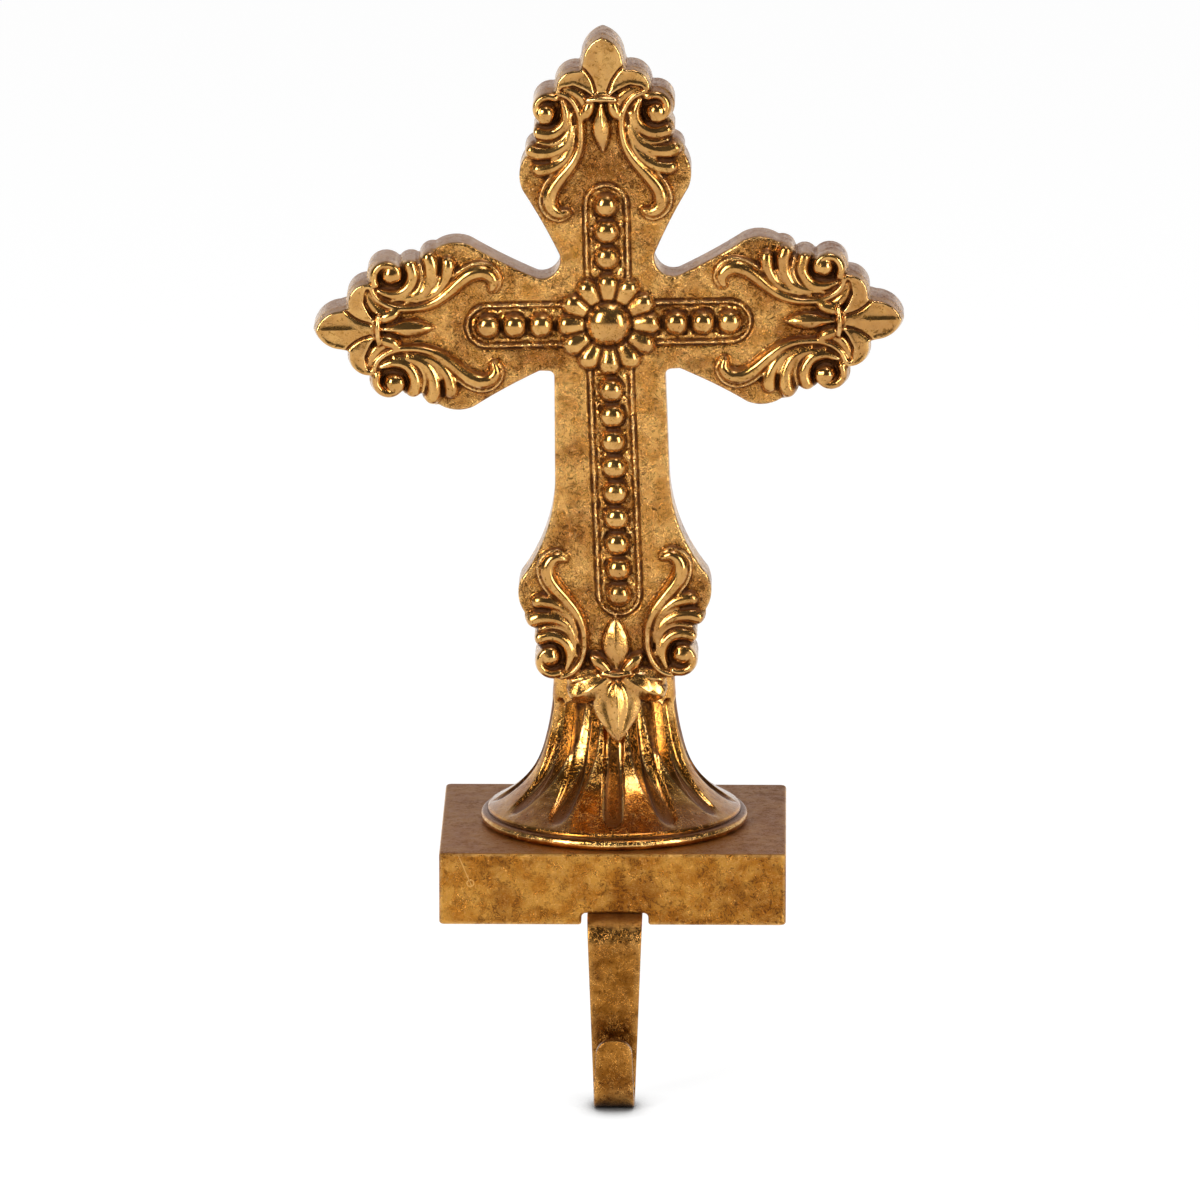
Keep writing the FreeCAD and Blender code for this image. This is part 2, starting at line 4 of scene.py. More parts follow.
import bmesh
import bpy
import numpy as np
import openvdb
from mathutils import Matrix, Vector


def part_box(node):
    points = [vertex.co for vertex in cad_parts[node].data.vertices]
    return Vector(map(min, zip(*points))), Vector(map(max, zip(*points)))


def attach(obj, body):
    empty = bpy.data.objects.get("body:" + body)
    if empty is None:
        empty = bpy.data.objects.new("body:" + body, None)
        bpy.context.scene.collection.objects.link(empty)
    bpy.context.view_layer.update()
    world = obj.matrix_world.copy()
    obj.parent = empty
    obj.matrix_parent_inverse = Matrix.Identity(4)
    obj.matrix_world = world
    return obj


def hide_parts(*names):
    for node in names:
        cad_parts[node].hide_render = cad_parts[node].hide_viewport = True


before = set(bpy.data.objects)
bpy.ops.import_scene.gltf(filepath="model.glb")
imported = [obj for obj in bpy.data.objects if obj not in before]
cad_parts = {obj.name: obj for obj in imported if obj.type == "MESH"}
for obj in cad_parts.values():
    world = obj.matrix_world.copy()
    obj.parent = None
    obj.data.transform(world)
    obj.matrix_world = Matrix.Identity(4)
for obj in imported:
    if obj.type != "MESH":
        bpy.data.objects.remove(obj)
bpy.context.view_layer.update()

# Lengths are in millimetres until a mesh is made; meshes and objects are in metres.
MM = 0.001
RNG = np.random.default_rng(11)

# Sizes of the solids that the pieces below stand for
BLOCK_WIDTH = 101.6
BLOCK_DEPTH = 84.7
BLOCK_BOTTOM = 1.0
BLOCK_TOP = 22.5
BLOCK_CORNER = 1.8
BLOCK_RIM = 0.8
BLOCK_FRONT = -BLOCK_DEPTH / 2
SLOT_WIDTH = 19.6
SLOT_CEILING = 4.5
SLOT_CORNER = 1.4
SLOT_LENGTH = 31.0
SLOT_OVERLAP = 3.0
STRAP_OFFSET = 0.7
STRAP_THICK = 2.8
STRAP_WIDTH = 16.2
STRAP_FOOT_WIDTH = 12.0
TONGUE_WIDTH = 10.6
TONGUE_CORNER = 4.4
TANG_LENGTH = 30.0
BEND_RADIUS = 5.0
HOOK_BOTTOM = -50.5
HOOK_GAP = 8.6
TONGUE_TOP = -29.0
RIM_RADIUS = 39.5
RIM_BEAD = 1.6
FLARE_FOOT_RADIUS = 37.2
FLARE_RISE = 1.2
FLARE_FOOT = RIM_BEAD * 2 + FLARE_RISE
WAIST_HEIGHT = 22.5
WAIST_RADIUS = 21.0
WAIST_HALF_DEPTH = 12.6
NECK_HEIGHT = 45.5
NECK_HALF_WIDTH = 17.9
NECK_HALF_DEPTH = 8.6
FACE_Y = -7.0
BACK_Y = 7.0
CENTRE_X = -1.6
CENTRE_Z = 173.6
LEAN = math.radians(1.3)

# Settings of the mesh work
SAME_PLACE = 1e-6
SHARP_ANGLE = math.radians(50)
KEEP_FACTOR = 6.0


# Meshes

def new_piece(name, points, faces):
    mesh = bpy.data.meshes.new(name)
    mesh.from_pydata(np.asarray(points, float) * MM, [], faces)
    mesh.validate()
    mesh.update()
    piece = bpy.data.objects.new(name, mesh)
    bpy.context.scene.collection.objects.link(piece)
    mesh.shade_smooth()
    return piece


def bake(piece):
    """Applies the piece's modifiers to its mesh."""
    graph = bpy.context.evaluated_depsgraph_get()
    whole = piece.evaluated_get(graph)
    mesh = bpy.data.meshes.new_from_object(whole, preserve_all_data_layers=True, depsgraph=graph)
    old = piece.data
    piece.modifiers.clear()
    piece.data = mesh
    bpy.data.meshes.remove(old)
    mesh.name = piece.name
    mesh.shade_smooth()


@contextmanager
def edited(piece):
    """The piece's mesh as a bmesh, written back afterwards."""
    bm = bmesh.new()
    bm.from_mesh(piece.data)
    yield bm
    bm.to_mesh(piece.data)
    bm.free()
    piece.data.shade_smooth()


def orient(piece):
    """Faces turned outwards."""
    with edited(piece) as bm:
        bmesh.ops.recalc_face_normals(bm, faces=bm.faces)
        if bm.calc_volume(signed=True) < 0:
            bmesh.ops.reverse_faces(bm, faces=bm.faces)


def loft(name, rings, capped=True):
    """Solid over rings that have equally many points; one without caps ends in rings of no size."""
    count = len(rings[0])
    points = np.vstack(rings)
    total = len(points)
    faces = [tuple(range(count)), tuple(range(total - 1, total - count - 1, -1))] if capped else []
    for start in range(0, total - count, count):
        for i in range(count):
            j = (i + 1) % count
            faces.append((start + i, start + j, start + count + j, start + count + i))
    piece = new_piece(name, points, faces)
    if not capped:
        with edited(piece) as bm:
            bmesh.ops.remove_doubles(bm, verts=bm.verts, dist=SAME_PLACE)
    orient(piece)
    return piece


def prism(name, outline, low, high, upright):
    """Straight prism over an outline; upright along z, or else along y."""
    return loft(name, [
        [(a, b, level) if upright else (a, level, b) for a, b in outline] for level in (low, high)
    ])


def arc(centre, radius, start, end, count):
    """Points on an arc between two angles in degrees, both ends included."""
    angles = np.radians(np.linspace(start, end, count + 1))
    return [(centre[0] + radius * math.cos(a), centre[1] + radius * math.sin(a)) for a in angles]


def rounded_rectangle(width, depth, corner, count):
    points = []
    for side_x, side_y, start in ((1, 1, 0), (-1, 1, 90), (-1, -1, 180), (1, -1, 270)):
        centre = side_x * (width / 2 - corner), side_y * (depth / 2 - corner)
        points += arc(centre, corner, start, start + 90, count)
    return points


def round_edges(piece, width, segments, harden):
    change = piece.modifiers.new("edge", "BEVEL")
    change.width = width * MM
    change.segments = segments
    change.limit_method = "ANGLE"
    change.angle_limit = SHARP_ANGLE
    change.harden_normals = harden
    bake(piece)


def mesh_points(mesh):
    points = np.empty(len(mesh.vertices) * 3, np.float32)
    mesh.vertices.foreach_get("co", points)
    return points.reshape(-1, 3).astype(float)


def put_attribute(piece, name, values):
    layer = piece.data.attributes.new(name, "FLOAT", "POINT")
    layer.data.foreach_set("value", np.asarray(values, np.float32))


def thin_out(piece, most, keep):
    """Collapses the flattest parts, away from the points to keep, down to at most so many triangles."""
    group = piece.vertex_groups.new(name="keep")
    group.add([int(i) for i in np.flatnonzero(keep)], 1.0, "REPLACE")
    piece.data.calc_loop_triangles()
    change = piece.modifiers.new("thin", "DECIMATE")
    change.ratio = most / len(piece.data.loop_triangles)
    change.vertex_group = "keep"
    change.invert_vertex_group = True
    change.vertex_group_factor = KEEP_FACTOR
    bake(piece)
    piece.vertex_groups.clear()


def hollows(mesh, rounds, scale):
    """How far each point lies under its smoothed surroundings: 1 at scale millimetres, negative above."""
    points = mesh_points(mesh)
    normals = np.array([n.vector for n in mesh.vertex_normals])
    ends = np.empty(len(mesh.edges) * 2, np.int64)
    mesh.edges.foreach_get("vertices", ends)
    a, b = ends.reshape(-1, 2).T
    total = len(points)
    share = np.bincount(a, minlength=total) + np.bincount(b, minlength=total)
    smooth = points.copy()
    for _ in range(rounds):
        smooth = np.stack([
            np.bincount(a, smooth[b, k], total) + np.bincount(b, smooth[a, k], total) for k in range(3)
        ], axis=1) / np.maximum(share, 1)[:, None]
    return np.clip(((smooth - points) * normals).sum(1) / (scale * MM), -1, 1)


# The cross: a drawing of heights over the plate, in its own upright frame about the flower

PITCH = 0.34
DRAWING_REACH = 90.5
DRAWING_LOW = -129.0
BORDER_REACH = 3.0
ROW_STEP = 0.45
SOFTENING = 0.22
# Unevenness of the surface: size and height
CRUMBS = (0.42, 0.32)
CRUMBS_MOST = 0.5
WAVES = (3.2, 0.08)
GRAIN = (0.8, 0.03)
RAISED_CALM = 0.85
xs = np.arange(-DRAWING_REACH, DRAWING_REACH, PITCH)
zs = np.arange(DRAWING_LOW, DRAWING_REACH, PITCH)
GX, GZ = np.meshgrid(xs, zs, indexing="ij")
relief = np.zeros_like(GX)


def blurred(values, radius):
    """Gaussian blur by a radius in millimetres."""
    fx = np.fft.fftfreq(values.shape[0], PITCH)[:, None]
    fz = np.fft.rfftfreq(values.shape[1], PITCH)[None, :]
    weight = np.exp(-2 * (math.pi * radius) ** 2 * (fx ** 2 + fz ** 2))
    return np.fft.irfft2(np.fft.rfft2(values) * weight, s=values.shape)


def uneven(radius, amount):
    """Seeded unevenness of a given size and height."""
    field = blurred(RNG.standard_normal(GX.shape), radius)
    return field * (amount / field.std())


def filled(values, radius):
    """The heights with each crevice filled as far up as a ball of a radius in millimetres rests in it."""
    reach = int(radius / PITCH)
    span = range(-reach, reach + 1)
    cap = [(i, k, (i * i + k * k) * PITCH ** 2) for i in span for k in span]
    cap = [(i, k, math.sqrt(radius ** 2 - far) - radius) for i, k, far in cap if far <= radius ** 2]

    def rolled_over(heights):
        return np.max([np.roll(heights, (i, k), (0, 1)) + drop for i, k, drop in cap], axis=0)

    return -rolled_over(-rolled_over(values))


def smooth_rows(rows):
    """Rows of numbers on a smooth curve through the given rows, whose first two columns are a place."""
    p = np.array(rows, float)
    p = np.vstack([2 * p[0] - p[1], p, 2 * p[-1] - p[-2]])
    out = []
    for k in range(1, len(p) - 2):
        count = max(2, int(np.hypot(*(p[k + 1, :2] - p[k, :2])) / ROW_STEP))
        t = np.linspace(0, 1, count, endpoint=False)[:, None]
        a = 2 * p[k]
        b = p[k + 1] - p[k - 1]
        c = 2 * p[k - 1] - 5 * p[k] + 4 * p[k + 1] - p[k + 2]
        d = -p[k - 1] + 3 * p[k] - 3 * p[k + 1] + p[k + 2]
        out.append(0.5 * (a + b * t + c * t ** 2 + d * t ** 3))
    out.append(p[-2:-1])
    return np.vstack(out)


def window(rows, reach):
    """The part of the drawing that lies round rows of places, out to a reach."""
    low, high = rows.min(0) - reach, rows.max(0) + reach
    return tuple(slice(*np.searchsorted(axis, (low[k], high[k]))) for k, axis in enumerate((xs, zs)))


def nearest(rows, area):
    """For each place in the area: its share of the stroke's half width, its side, and the height there."""
    x = GX[area][..., None]
    z = GZ[area][..., None]
    a, b = rows[:-1], rows[1:]
    dx, dz = b[:, 0] - a[:, 0], b[:, 1] - a[:, 1]
    t = ((x - a[:, 0]) * dx + (z - a[:, 1]) * dz) / (dx ** 2 + dz ** 2 + 1e-9)
    t = np.clip(t, 0, 1)
    distance = np.hypot(x - a[:, 0] - t * dx, z - a[:, 1] - t * dz)
    share = distance / (a[:, 2] + t * (b[:, 2] - a[:, 2]))
    best = share.argmin(-1)[..., None]
    side = np.sign(dx * (z - a[:, 1]) - dz * (x - a[:, 0]))
    height = a[:, 3] + t * (b[:, 3] - a[:, 3])
    return [np.take_along_axis(v, best, -1)[..., 0] for v in (share, side, height)]


def stroke(rows, profile, hand=1):
    """Raises the relief along rows of (x, z, half width, height)."""
    area = window(rows, rows[:, 2].max() + PITCH)
    share, side, height = nearest(rows, area)
    lift = np.where(share < 1, height * profile(np.clip(share, 0, 1) * side * hand), 0)
    relief[area] = np.maximum(relief[area], lift)


def way(value, low, high):
    """How far a value has come on its way from low to high, from 0 to 1."""
    return np.clip((value - low) / (high - low), 0, 1)


def step_up(value, low, high):
    t = way(value, low, high)
    return t * t * (3 - 2 * t)


def hill(value, middle, width):
    """1 in the middle, fading away on both sides."""
    return np.exp(-((value - middle) / width) ** 2)


def round_profile(s):
    return np.sqrt(np.maximum(1 - s * s, 0))


def pebble_profile(s):
    return np.maximum(1 - np.abs(s) ** 2.5, 0) ** 0.55


def egg_profile(s):
    return np.maximum(1 - np.abs(s) ** 2.2, 0) ** 0.6


def ridge_profile(s):
    """Leaf that rises evenly to a sharp middle line."""
    s = np.abs(s)
    return (0.5 + 0.5 * (1 - s)) * (1 - step_up(s, 0.86, 1.0))


def folded_profile(s):
    """Broad leaf that falls away from a middle rib, with a fold on each side."""
    s = np.abs(s)
    fold = 0.1 * hill(s, 0, 0.08) - 0.13 * hill(s, 0.42, 0.12)
    return (0.92 - 0.46 * s + fold) * (1 - step_up(s, 0.9, 1.0))


def stem_profile(s):
    """Rounded band with a thin raised line along its inner edge."""
    band = np.sqrt(np.maximum(1 - ((s - 0.14) / 0.86) ** 2, 0))
    edge = 0.66 * np.sqrt(np.maximum(1 - ((s + 0.82) / 0.18) ** 2, 0))
    return np.maximum(band, edge)


# The top arm's end lies a little to the left, most of all at this distance from the flower.
TOP_SHIFT = 0.9
TOP_SHIFT_MIDDLE = 61
TOP_SHIFT_WIDTH = 11


def placed(rows, turn, mirror=1, widen=0.0, reach=0.0):
    """Rows of an arm's drawing, given as across and along, on the arm at a clockwise turn."""
    rows = np.array(rows, float)
    across = (rows[:, 0] + widen) * mirror
    along = rows[:, 1] + reach
    if turn == 0:
        across = across - TOP_SHIFT * hill(along, TOP_SHIFT_MIDDLE, TOP_SHIFT_WIDTH)
    angle = math.radians(turn)
    out = rows.copy()
    out[:, 0] = across * math.cos(angle) + along * math.sin(angle)
    out[:, 1] = -across * math.sin(angle) + along * math.cos(angle)
    return out


# Drawing of one half of an arm's end: across, along, half width, height

RELIEF = 3.1
VOLUTE = (15.4, 64.2)
VOLUTE_RADIUS = 4.2
VOLUTE_TIGHTENING = 1.6
VOLUTE_START = 118
VOLUTE_SWEEP = -205
VOLUTE_HALF = 1.6
VOLUTE_WIDENING = 0.25
VOLUTE_HEIGHT = 3.4
EYE = (16.2, 63.3)
EYE_RADIUS = 3.2
EYE_RISE = 3.9

STEM = smooth_rows([
    (12.8, 69.2, 1.5, 3.0), (9.6, 67.7, 1.5, 2.9), (7.4, 64.8, 1.5, 2.8), (6.3, 61.2, 1.5, 2.8),
    (6.2, 57.4, 1.6, 2.8), (6.8, 53.6, 1.8, 2.9), (8.4, 50.0, 2.1, 3.0), (11.0, 46.6, 2.4, 3.1),
    (13.8, 43.5, 2.7, 3.2), (16.0, 40.3, 2.9, 3.3), (16.8, 37.1, 2.95, 3.3), (15.9, 34.5, 2.7, 3.1),
    (13.7, 33.0, 2.3, 2.9), (11.5, 33.5, 1.7, 2.4),
])
LOBES = [smooth_rows(rows) for rows in (
    [(11.4, 67.0, 1.0, 2.4), (10.2, 63.4, 1.7, 2.8), (10.8, 60.0, 2.0, 2.9), (13.0, 57.8, 2.15, 3.0),
     (15.9, 56.9, 2.3, 3.1), (18.9, 57.6, 2.35, 3.0)],
    [(8.7, 61.4, 0.8, 2.2), (9.3, 57.0, 1.3, 2.5), (11.3, 53.6, 1.8, 2.7), (14.8, 51.8, 2.2, 2.9),
     (18.6, 51.5, 2.5, 3.1), (20.8, 52.2, 2.4, 2.9)],
    [(7.9, 56.6, 0.7, 2.1), (9.3, 52.4, 1.1, 2.4), (11.5, 49.4, 1.6, 2.6), (14.8, 47.3, 2.1, 2.9),
     (18.2, 46.5, 2.35, 3.0), (19.3, 46.6, 2.2, 2.8)],
)]
VEINS = [smooth_rows(rows) for rows in (
    [(8.4, 63.2, 0.7, 2.1), (9.4, 58.4, 0.8, 2.3), (11.7, 55.4, 0.9, 2.4), (15.2, 54.2, 0.9, 2.3),
     (19.2, 54.8, 0.7, 2.0)],
    [(7.8, 59.2, 0.6, 2.0), (9.0, 54.4, 0.7, 2.2), (11.2, 51.1, 0.75, 2.2), (15.2, 49.4, 0.7, 2.0)],
)]
RIBBON = smooth_rows([
    (10.8, 70.4, 1.3, 2.1), (7.6, 69.2, 1.9, 2.5), (5.4, 67.0, 1.9, 2.5), (4.9, 63.6, 1.0, 2.0),
])
LILY_HALF = [(0, 67.0), (2.6, 67.6), (5.0, 69.4), (8.2, 70.9), (11.2, 70.4), (12.8, 68.6), (14.6, 69.4),
             (16.0, 73.0), (16.0, 90.0), (0, 90.0)]
LILY_FOLD = smooth_rows([
    (6.9, 77.6, 0.5, 1.9), (4.9, 75.9, 0.5, 1.9), (2.9, 73.0, 0.5, 1.9), (1.7, 69.6, 0.5, 1.7),
])
FOOT_CURL = smooth_rows([
    (2.8, 67.3, 1.4, 3.0), (3.5, 65.2, 2.2, 3.6), (4.3, 63.2, 2.2, 3.6), (5.4, 61.8, 1.3, 3.0),
])
WAIST = smooth_rows([(-4.1, 67.3, 1.2, 4.0), (0, 67.6, 1.45, 4.6), (4.1, 67.3, 1.2, 4.0)])
SPIKE = smooth_rows([
    (0, 65.8, 1.1, 2.8), (0, 62.2, 2.0, 3.3), (0, 58.2, 2.8, 3.4), (0, 54.6, 1.9, 2.8), (0, 51.2, 0.3, 1.4),
])

# Drawing of the lower lily, which laps over the neck
FOOT_SPIKE = smooth_rows([
    (0, 103.4, 1.4, 2.8), (0, 100.0, 3.2, 3.3), (0, 96.4, 4.3, 3.4), (0, 92.2, 3.0, 2.8), (0, 87.6, 0.3, 1.2),
])
FOOT_SASH = smooth_rows([
    (3.0, 104.3, 1.2, 2.7), (7.4, 105.4, 2.3, 2.8), (11.0, 106.4, 2.6, 2.8), (13.0, 107.0, 2.2, 2.6),
])
FOOT_PETAL = smooth_rows([
    (1.4, 105.2, 1.3, 3.0), (4.4, 106.8, 2.7, 3.8), (8.0, 109.2, 3.7, 4.2), (10.8, 110.6, 3.5, 3.9),
    (12.2, 111.0, 2.7, 3.5),
])
FOOT_LEAF = smooth_rows([
    (0, 106.4, 1.8, 3.0), (0, 108.8, 4.4, 3.6), (0, 111.2, 7.0, 4.0), (0, 113.4, 7.6, 4.0),
    (0, 116.0, 6.4, 3.9), (0, 119.0, 4.7, 3.6), (0, 122.0, 2.9, 3.2), (0, 124.2, 1.2, 2.8),
    (0, 125.4, 0.2, 2.4),
])
KNOT_LOOP = smooth_rows([
    (1.8, 104.2, 1.2, 3.5), (3.6, 102.7, 2.2, 4.0), (5.4, 101.1, 2.3, 4.0), (6.9, 99.8, 1.4, 3.4),
])


# The lower end's scrolls lie farther apart and farther from the flower than an arm's.
FOOT_WIDEN = 3.3
FOOT_SHIFT = 36.3
FOOT_KNOT_SHIFT = 37.2

# Flat leaves of an arm's lily, with a keel on the middle one and a raised lip
LILY_HEIGHT = 2.6
KEEL_HEIGHT = 0.45
KEEL_WIDTH = 0.7
KEEL_START = 72
KEEL_FULL = 77
LIP_HEIGHT = 0.35
LIP_INSET = 1.1
LIP_WIDTH = 0.45
LILY_EDGE = 0.8
FOLD_DEPTH = 1.1
FOLD_WIDTH = 0.6

# Rows of beads and the flower
BALL_GROOVE = 0.3
BALL_GROOVE_OFFSET = 0.25
BALL_GROOVE_WIDTH = 0.4
BEAD_FIRST = 19.8
BEAD_RISE = 0.92
ARM_BEADS = (3, 7.8, 3.72)
SHAFT_BEADS = (9, 7.7, 3.7)
SHAFT_TURN = 179.1
RAIL_HALF = 7.0
RAIL_START = 12.0
RAIL_LINE = 5.95
RAIL_RISE = 1.05
RAIL_CHANNEL = 5.1
CHANNEL_DEPTH = 0.5
RAIL_OUTSIDE = 6.85
OUTSIDE_DEPTH = 0.6
FLOWER_REACH = 14.5
PETALS = 12
DOME_RADIUS = 6.6
DOME_RISE = 4.7
DOME_GROOVE = 0.9


def volute_rows():
    """Band that comes over the top, goes down the outer side and ends in the ball."""
    rows = []
    for share in np.linspace(0, 1, 49):
        angle = math.radians(VOLUTE_START + VOLUTE_SWEEP * share)
        radius = VOLUTE_RADIUS - VOLUTE_TIGHTENING * share ** 3
        x, z = VOLUTE[0] + radius * math.cos(angle), VOLUTE[1] + radius * math.sin(angle)
        rows.append((x, z, VOLUTE_HALF + VOLUTE_WIDENING * share, VOLUTE_HEIGHT))
    return rows


ROUGH = np.clip(uneven(*CRUMBS), -CRUMBS_MOST, CRUMBS_MOST)


def draw_ball(x, z, radius, rise, groove=BALL_GROOVE):
    """Round boss with a fine groove round its foot."""
    area = window(np.array([[x, z]]), radius + 2)
    distance = np.hypot(GX[area] - x, GZ[area] - z)
    ditch = groove * hill(distance, radius + BALL_GROOVE_OFFSET, BALL_GROOVE_WIDTH)
    ball = rise * np.maximum(1 - (distance / radius) ** 2.2, 0) ** 0.52
    relief[area] = np.where(distance < radius, np.maximum(relief[area], ball), relief[area] - ditch)


def draw_scroll(turn, widen, reach):
    for mirror in (1, -1):
        def at(rows):
            return placed(rows, turn, mirror, widen, reach)
        for rows in VEINS + LOBES + [volute_rows()]:
            stroke(at(rows), round_profile)
        stroke(at(STEM), stem_profile, hand=-mirror)
        x, z = at([EYE])[0]
        draw_ball(x, z, EYE_RADIUS, EYE_RISE, 0)


def draw_lily(turn, plate):
    """Leaf and two petals with flat faces, parted by folds, over a keeled spike and curls."""
    for mirror in (1, -1):
        stroke(placed(RIBBON, turn, mirror), round_profile)
    outline = LILY_HALF + [(-x, z) for x, z in reversed(LILY_HALF[1:-1])]
    border = signed_distance(placed(outline, turn))
    inset = -np.maximum(plate, border)
    along = placed([(0, 1)], turn)[0]
    aside = np.abs(GX * along[1] - GZ * along[0])
    keel = np.exp(-aside / KEEL_WIDTH) * step_up(GX * along[0] + GZ * along[1], KEEL_START, KEEL_FULL)
    lily = LILY_HEIGHT + KEEL_HEIGHT * keel + LIP_HEIGHT * hill(inset, LIP_INSET, LIP_WIDTH)
    lily *= step_up(inset, 0.0, LILY_EDGE)
    for mirror in (1, -1):
        fold = placed(LILY_FOLD, turn, mirror)
        area = window(fold, 3)
        lily[area] -= FOLD_DEPTH * hill(nearest(fold, area)[0], 0, FOLD_WIDTH) * (lily[area] > 0)
    np.maximum(relief, lily, out=relief)
    for mirror in (1, -1):
        stroke(placed(FOOT_CURL, turn, mirror), round_profile)
    stroke(placed(SPIKE, turn), ridge_profile)
    stroke(placed(WAIST, turn), pebble_profile)


def draw_foot_lily():
    stroke(placed(FOOT_LEAF, 180), folded_profile)
    for mirror in (1, -1):
        stroke(placed(FOOT_SASH, 180, mirror), folded_profile)
        stroke(placed(FOOT_PETAL, 180, mirror), ridge_profile)
        stroke(placed(KNOT_LOOP, 180, mirror), pebble_profile)
    stroke(placed(FOOT_SPIKE, 180), ridge_profile)
    stroke(placed(WAIST, 180, reach=FOOT_KNOT_SHIFT), pebble_profile)


def draw_rail(turn, last):
    """Raised line round a row of beads, and the sunk channel inside it."""
    rows = placed([(0, RAIL_START, RAIL_HALF, 1.0), (0, last, RAIL_HALF, 1.0)], turn)
    area = window(rows, RAIL_HALF + 1)
    distance = nearest(rows, area)[0] * RAIL_HALF
    beyond = np.hypot(GX[area], GZ[area]) > FLOWER_REACH
    worn = np.clip(0.85 + ROUGH[area] * 1.6, 0.25, 1.2)
    line = RAIL_RISE * worn * hill(distance, RAIL_LINE, 0.42)
    channel = CHANNEL_DEPTH * hill(distance, RAIL_CHANNEL, 0.35)
    outside = OUTSIDE_DEPTH * hill(distance, RAIL_OUTSIDE, 0.32)
    crumbs = ROUGH[area] * (1 - step_up(distance, 4.2, 5.2))
    relief[area] += np.where(beyond, line - channel - outside + crumbs, 0)


def draw_bead_row(turn, count, pitch, radius):
    draw_rail(turn, BEAD_FIRST + (count - 1) * pitch)
    for i in range(count):
        x, z = placed([(0, BEAD_FIRST + i * pitch)], turn)[0]
        draw_ball(x, z, radius, radius * BEAD_RISE)


def draw_flower():
    petal = smooth_rows([(0, 6.4, 1.8, 1.8), (0, 9.2, 2.6, 2.6), (0, 11.4, 3.3, 3.1), (0, 12.0, 3.35, 3.1)])
    for i in range(PETALS):
        stroke(placed(petal, i * 360 / PETALS), egg_profile)
    draw_ball(0, 0, DOME_RADIUS, DOME_RISE, DOME_GROOVE)


# Outline of the plate: three-point arcs and lines, as on the solid

ARC_POINTS = 10
ARM_REACH = 65.0
LOBE_OFFSET = 15.3
LOBE_RADIUS = 5.5


def arc_points(a, b, c, count=ARC_POINTS):
    """Points on the arc from a through b, up to but without c."""
    a, b, c = (complex(*p) for p in (a, b, c))
    w = (c - a) / (b - a)
    # Centre of the circle through all three points
    centre = a + (b - a) * (w - abs(w) ** 2) / (2j * w.imag)
    start, middle, end = (np.angle(p - centre) for p in (a, b, c))
    turn = (end - start) % (2 * math.pi)
    if (middle - start) % (2 * math.pi) > turn:
        turn -= 2 * math.pi
    angles = start + turn * np.linspace(0, 1, count, endpoint=False)
    return [(p.real, p.imag) for p in centre + abs(a - centre) * np.exp(1j * angles)]


def on_lobe(degrees):
    angle = math.radians(degrees)
    return (LOBE_OFFSET + LOBE_RADIUS * math.cos(angle), LOBE_RADIUS * math.sin(angle))


def run_points(runs):
    points = []
    for run in runs:
        points += arc_points(*run) if len(run) == 3 else [run[0]]
    return points + [runs[-1][-1]]


def scroll_side():
    root, first, second = (7.0, 11.6), on_lobe(-48), (19.8, -9.8)
    third, shoulder = (23.3, -14.7), (24.2, -25.0)
    return [
        [root, (12.3, 10.0), on_lobe(100)], [on_lobe(100), on_lobe(20), first],
        [first, (20.7, -7.3), second], [second, (22.6, -11.4), third], [third, (25.1, -19.8), shoulder],
    ]


def arm_side():
    tip = [[(0, 21.5), (4.4, 18.6), (6.4, 13.5)], [(6.4, 13.5), (7.0, 11.6)]]
    points = [(x, z + ARM_REACH) for x, z in run_points(tip + scroll_side())]
    waist = arc_points(points[-1], (17.6, 28.3), (13.9, 20.6), 12)
    return points[:-1] + waist + [(13.9, 20.6)]


def plate_outline():
    arm = arm_side()
    crotch = arc_points(arm[-1], (15.4, 15.4), (arm[-1][1], arm[-1][0]), 8)
    upper = arm + crotch[1:] + [(z, x) for x, z in reversed(arm)]
    lower_arm = [(z, -x) for x, z in arm[1:]]
    foot_reach = ARM_REACH + FOOT_SHIFT
    scroll = [(x + FOOT_WIDEN, -(z + foot_reach)) for x, z in run_points(scroll_side())]
    scroll = scroll[:ARC_POINTS - 1:-1]
    shaft = arc_points((17.9, -14.0), (16.8, -14.5), (16.3, -15.6), 5)
    shaft += [(16.3, -15.6), (16.8, -45.0)]
    flare_arc = arc_points((16.8, -45.0), (19.5, -61.5), scroll[0], 14)
    bottom = [(10.0, scroll[-1][1]), (10.0, -110.0)]
    return both_sides(upper + lower_arm + shaft + flare_arc[1:] + scroll + bottom)


def foot_leaf_outline():
    """Petals and pointed leaf of the lower lily, which lap over the neck."""
    return both_sides([
        (0, -125.4), (3.0, -122.4), (6.0, -118.0), (7.8, -114.6), (10.6, -114.3), (13.4, -113.0),
        (15.0, -110.4), (14.4, -106.0), (12.0, -102.0), (0, -98.0),
    ])


def both_sides(right):
    return right + [(-x, z) for x, z in reversed(right)]


def inside(points):
    """Which places of the grid lie in the polygon."""
    points = np.array(points)
    found = np.zeros(GX.shape, bool)
    for (ax, az), (bx, bz) in zip(points, np.roll(points, -1, axis=0)):
        if az == bz:
            continue
        rows = (zs >= min(az, bz)) & (zs < max(az, bz))
        cross = ax + (zs[rows] - az) * (bx - ax) / (bz - az)
        found[:, rows] ^= xs[:, None] < cross[None, :]
    return found


def signed_distance(points):
    """Distance to the polygon, negative inside, exact near its line."""
    found = inside(points)
    distance = np.full(GX.shape, BORDER_REACH)
    points = np.array(points)
    for a, b in zip(points, np.roll(points, -1, axis=0)):
        if np.hypot(*(b - a)) < SAME_PLACE:
            continue
        rows = np.array([[*a, 1, 0], [*b, 1, 0]])
        area = window(rows, BORDER_REACH)
        distance[area] = np.minimum(distance[area], nearest(rows, area)[0])
    return np.where(found, -distance, distance)


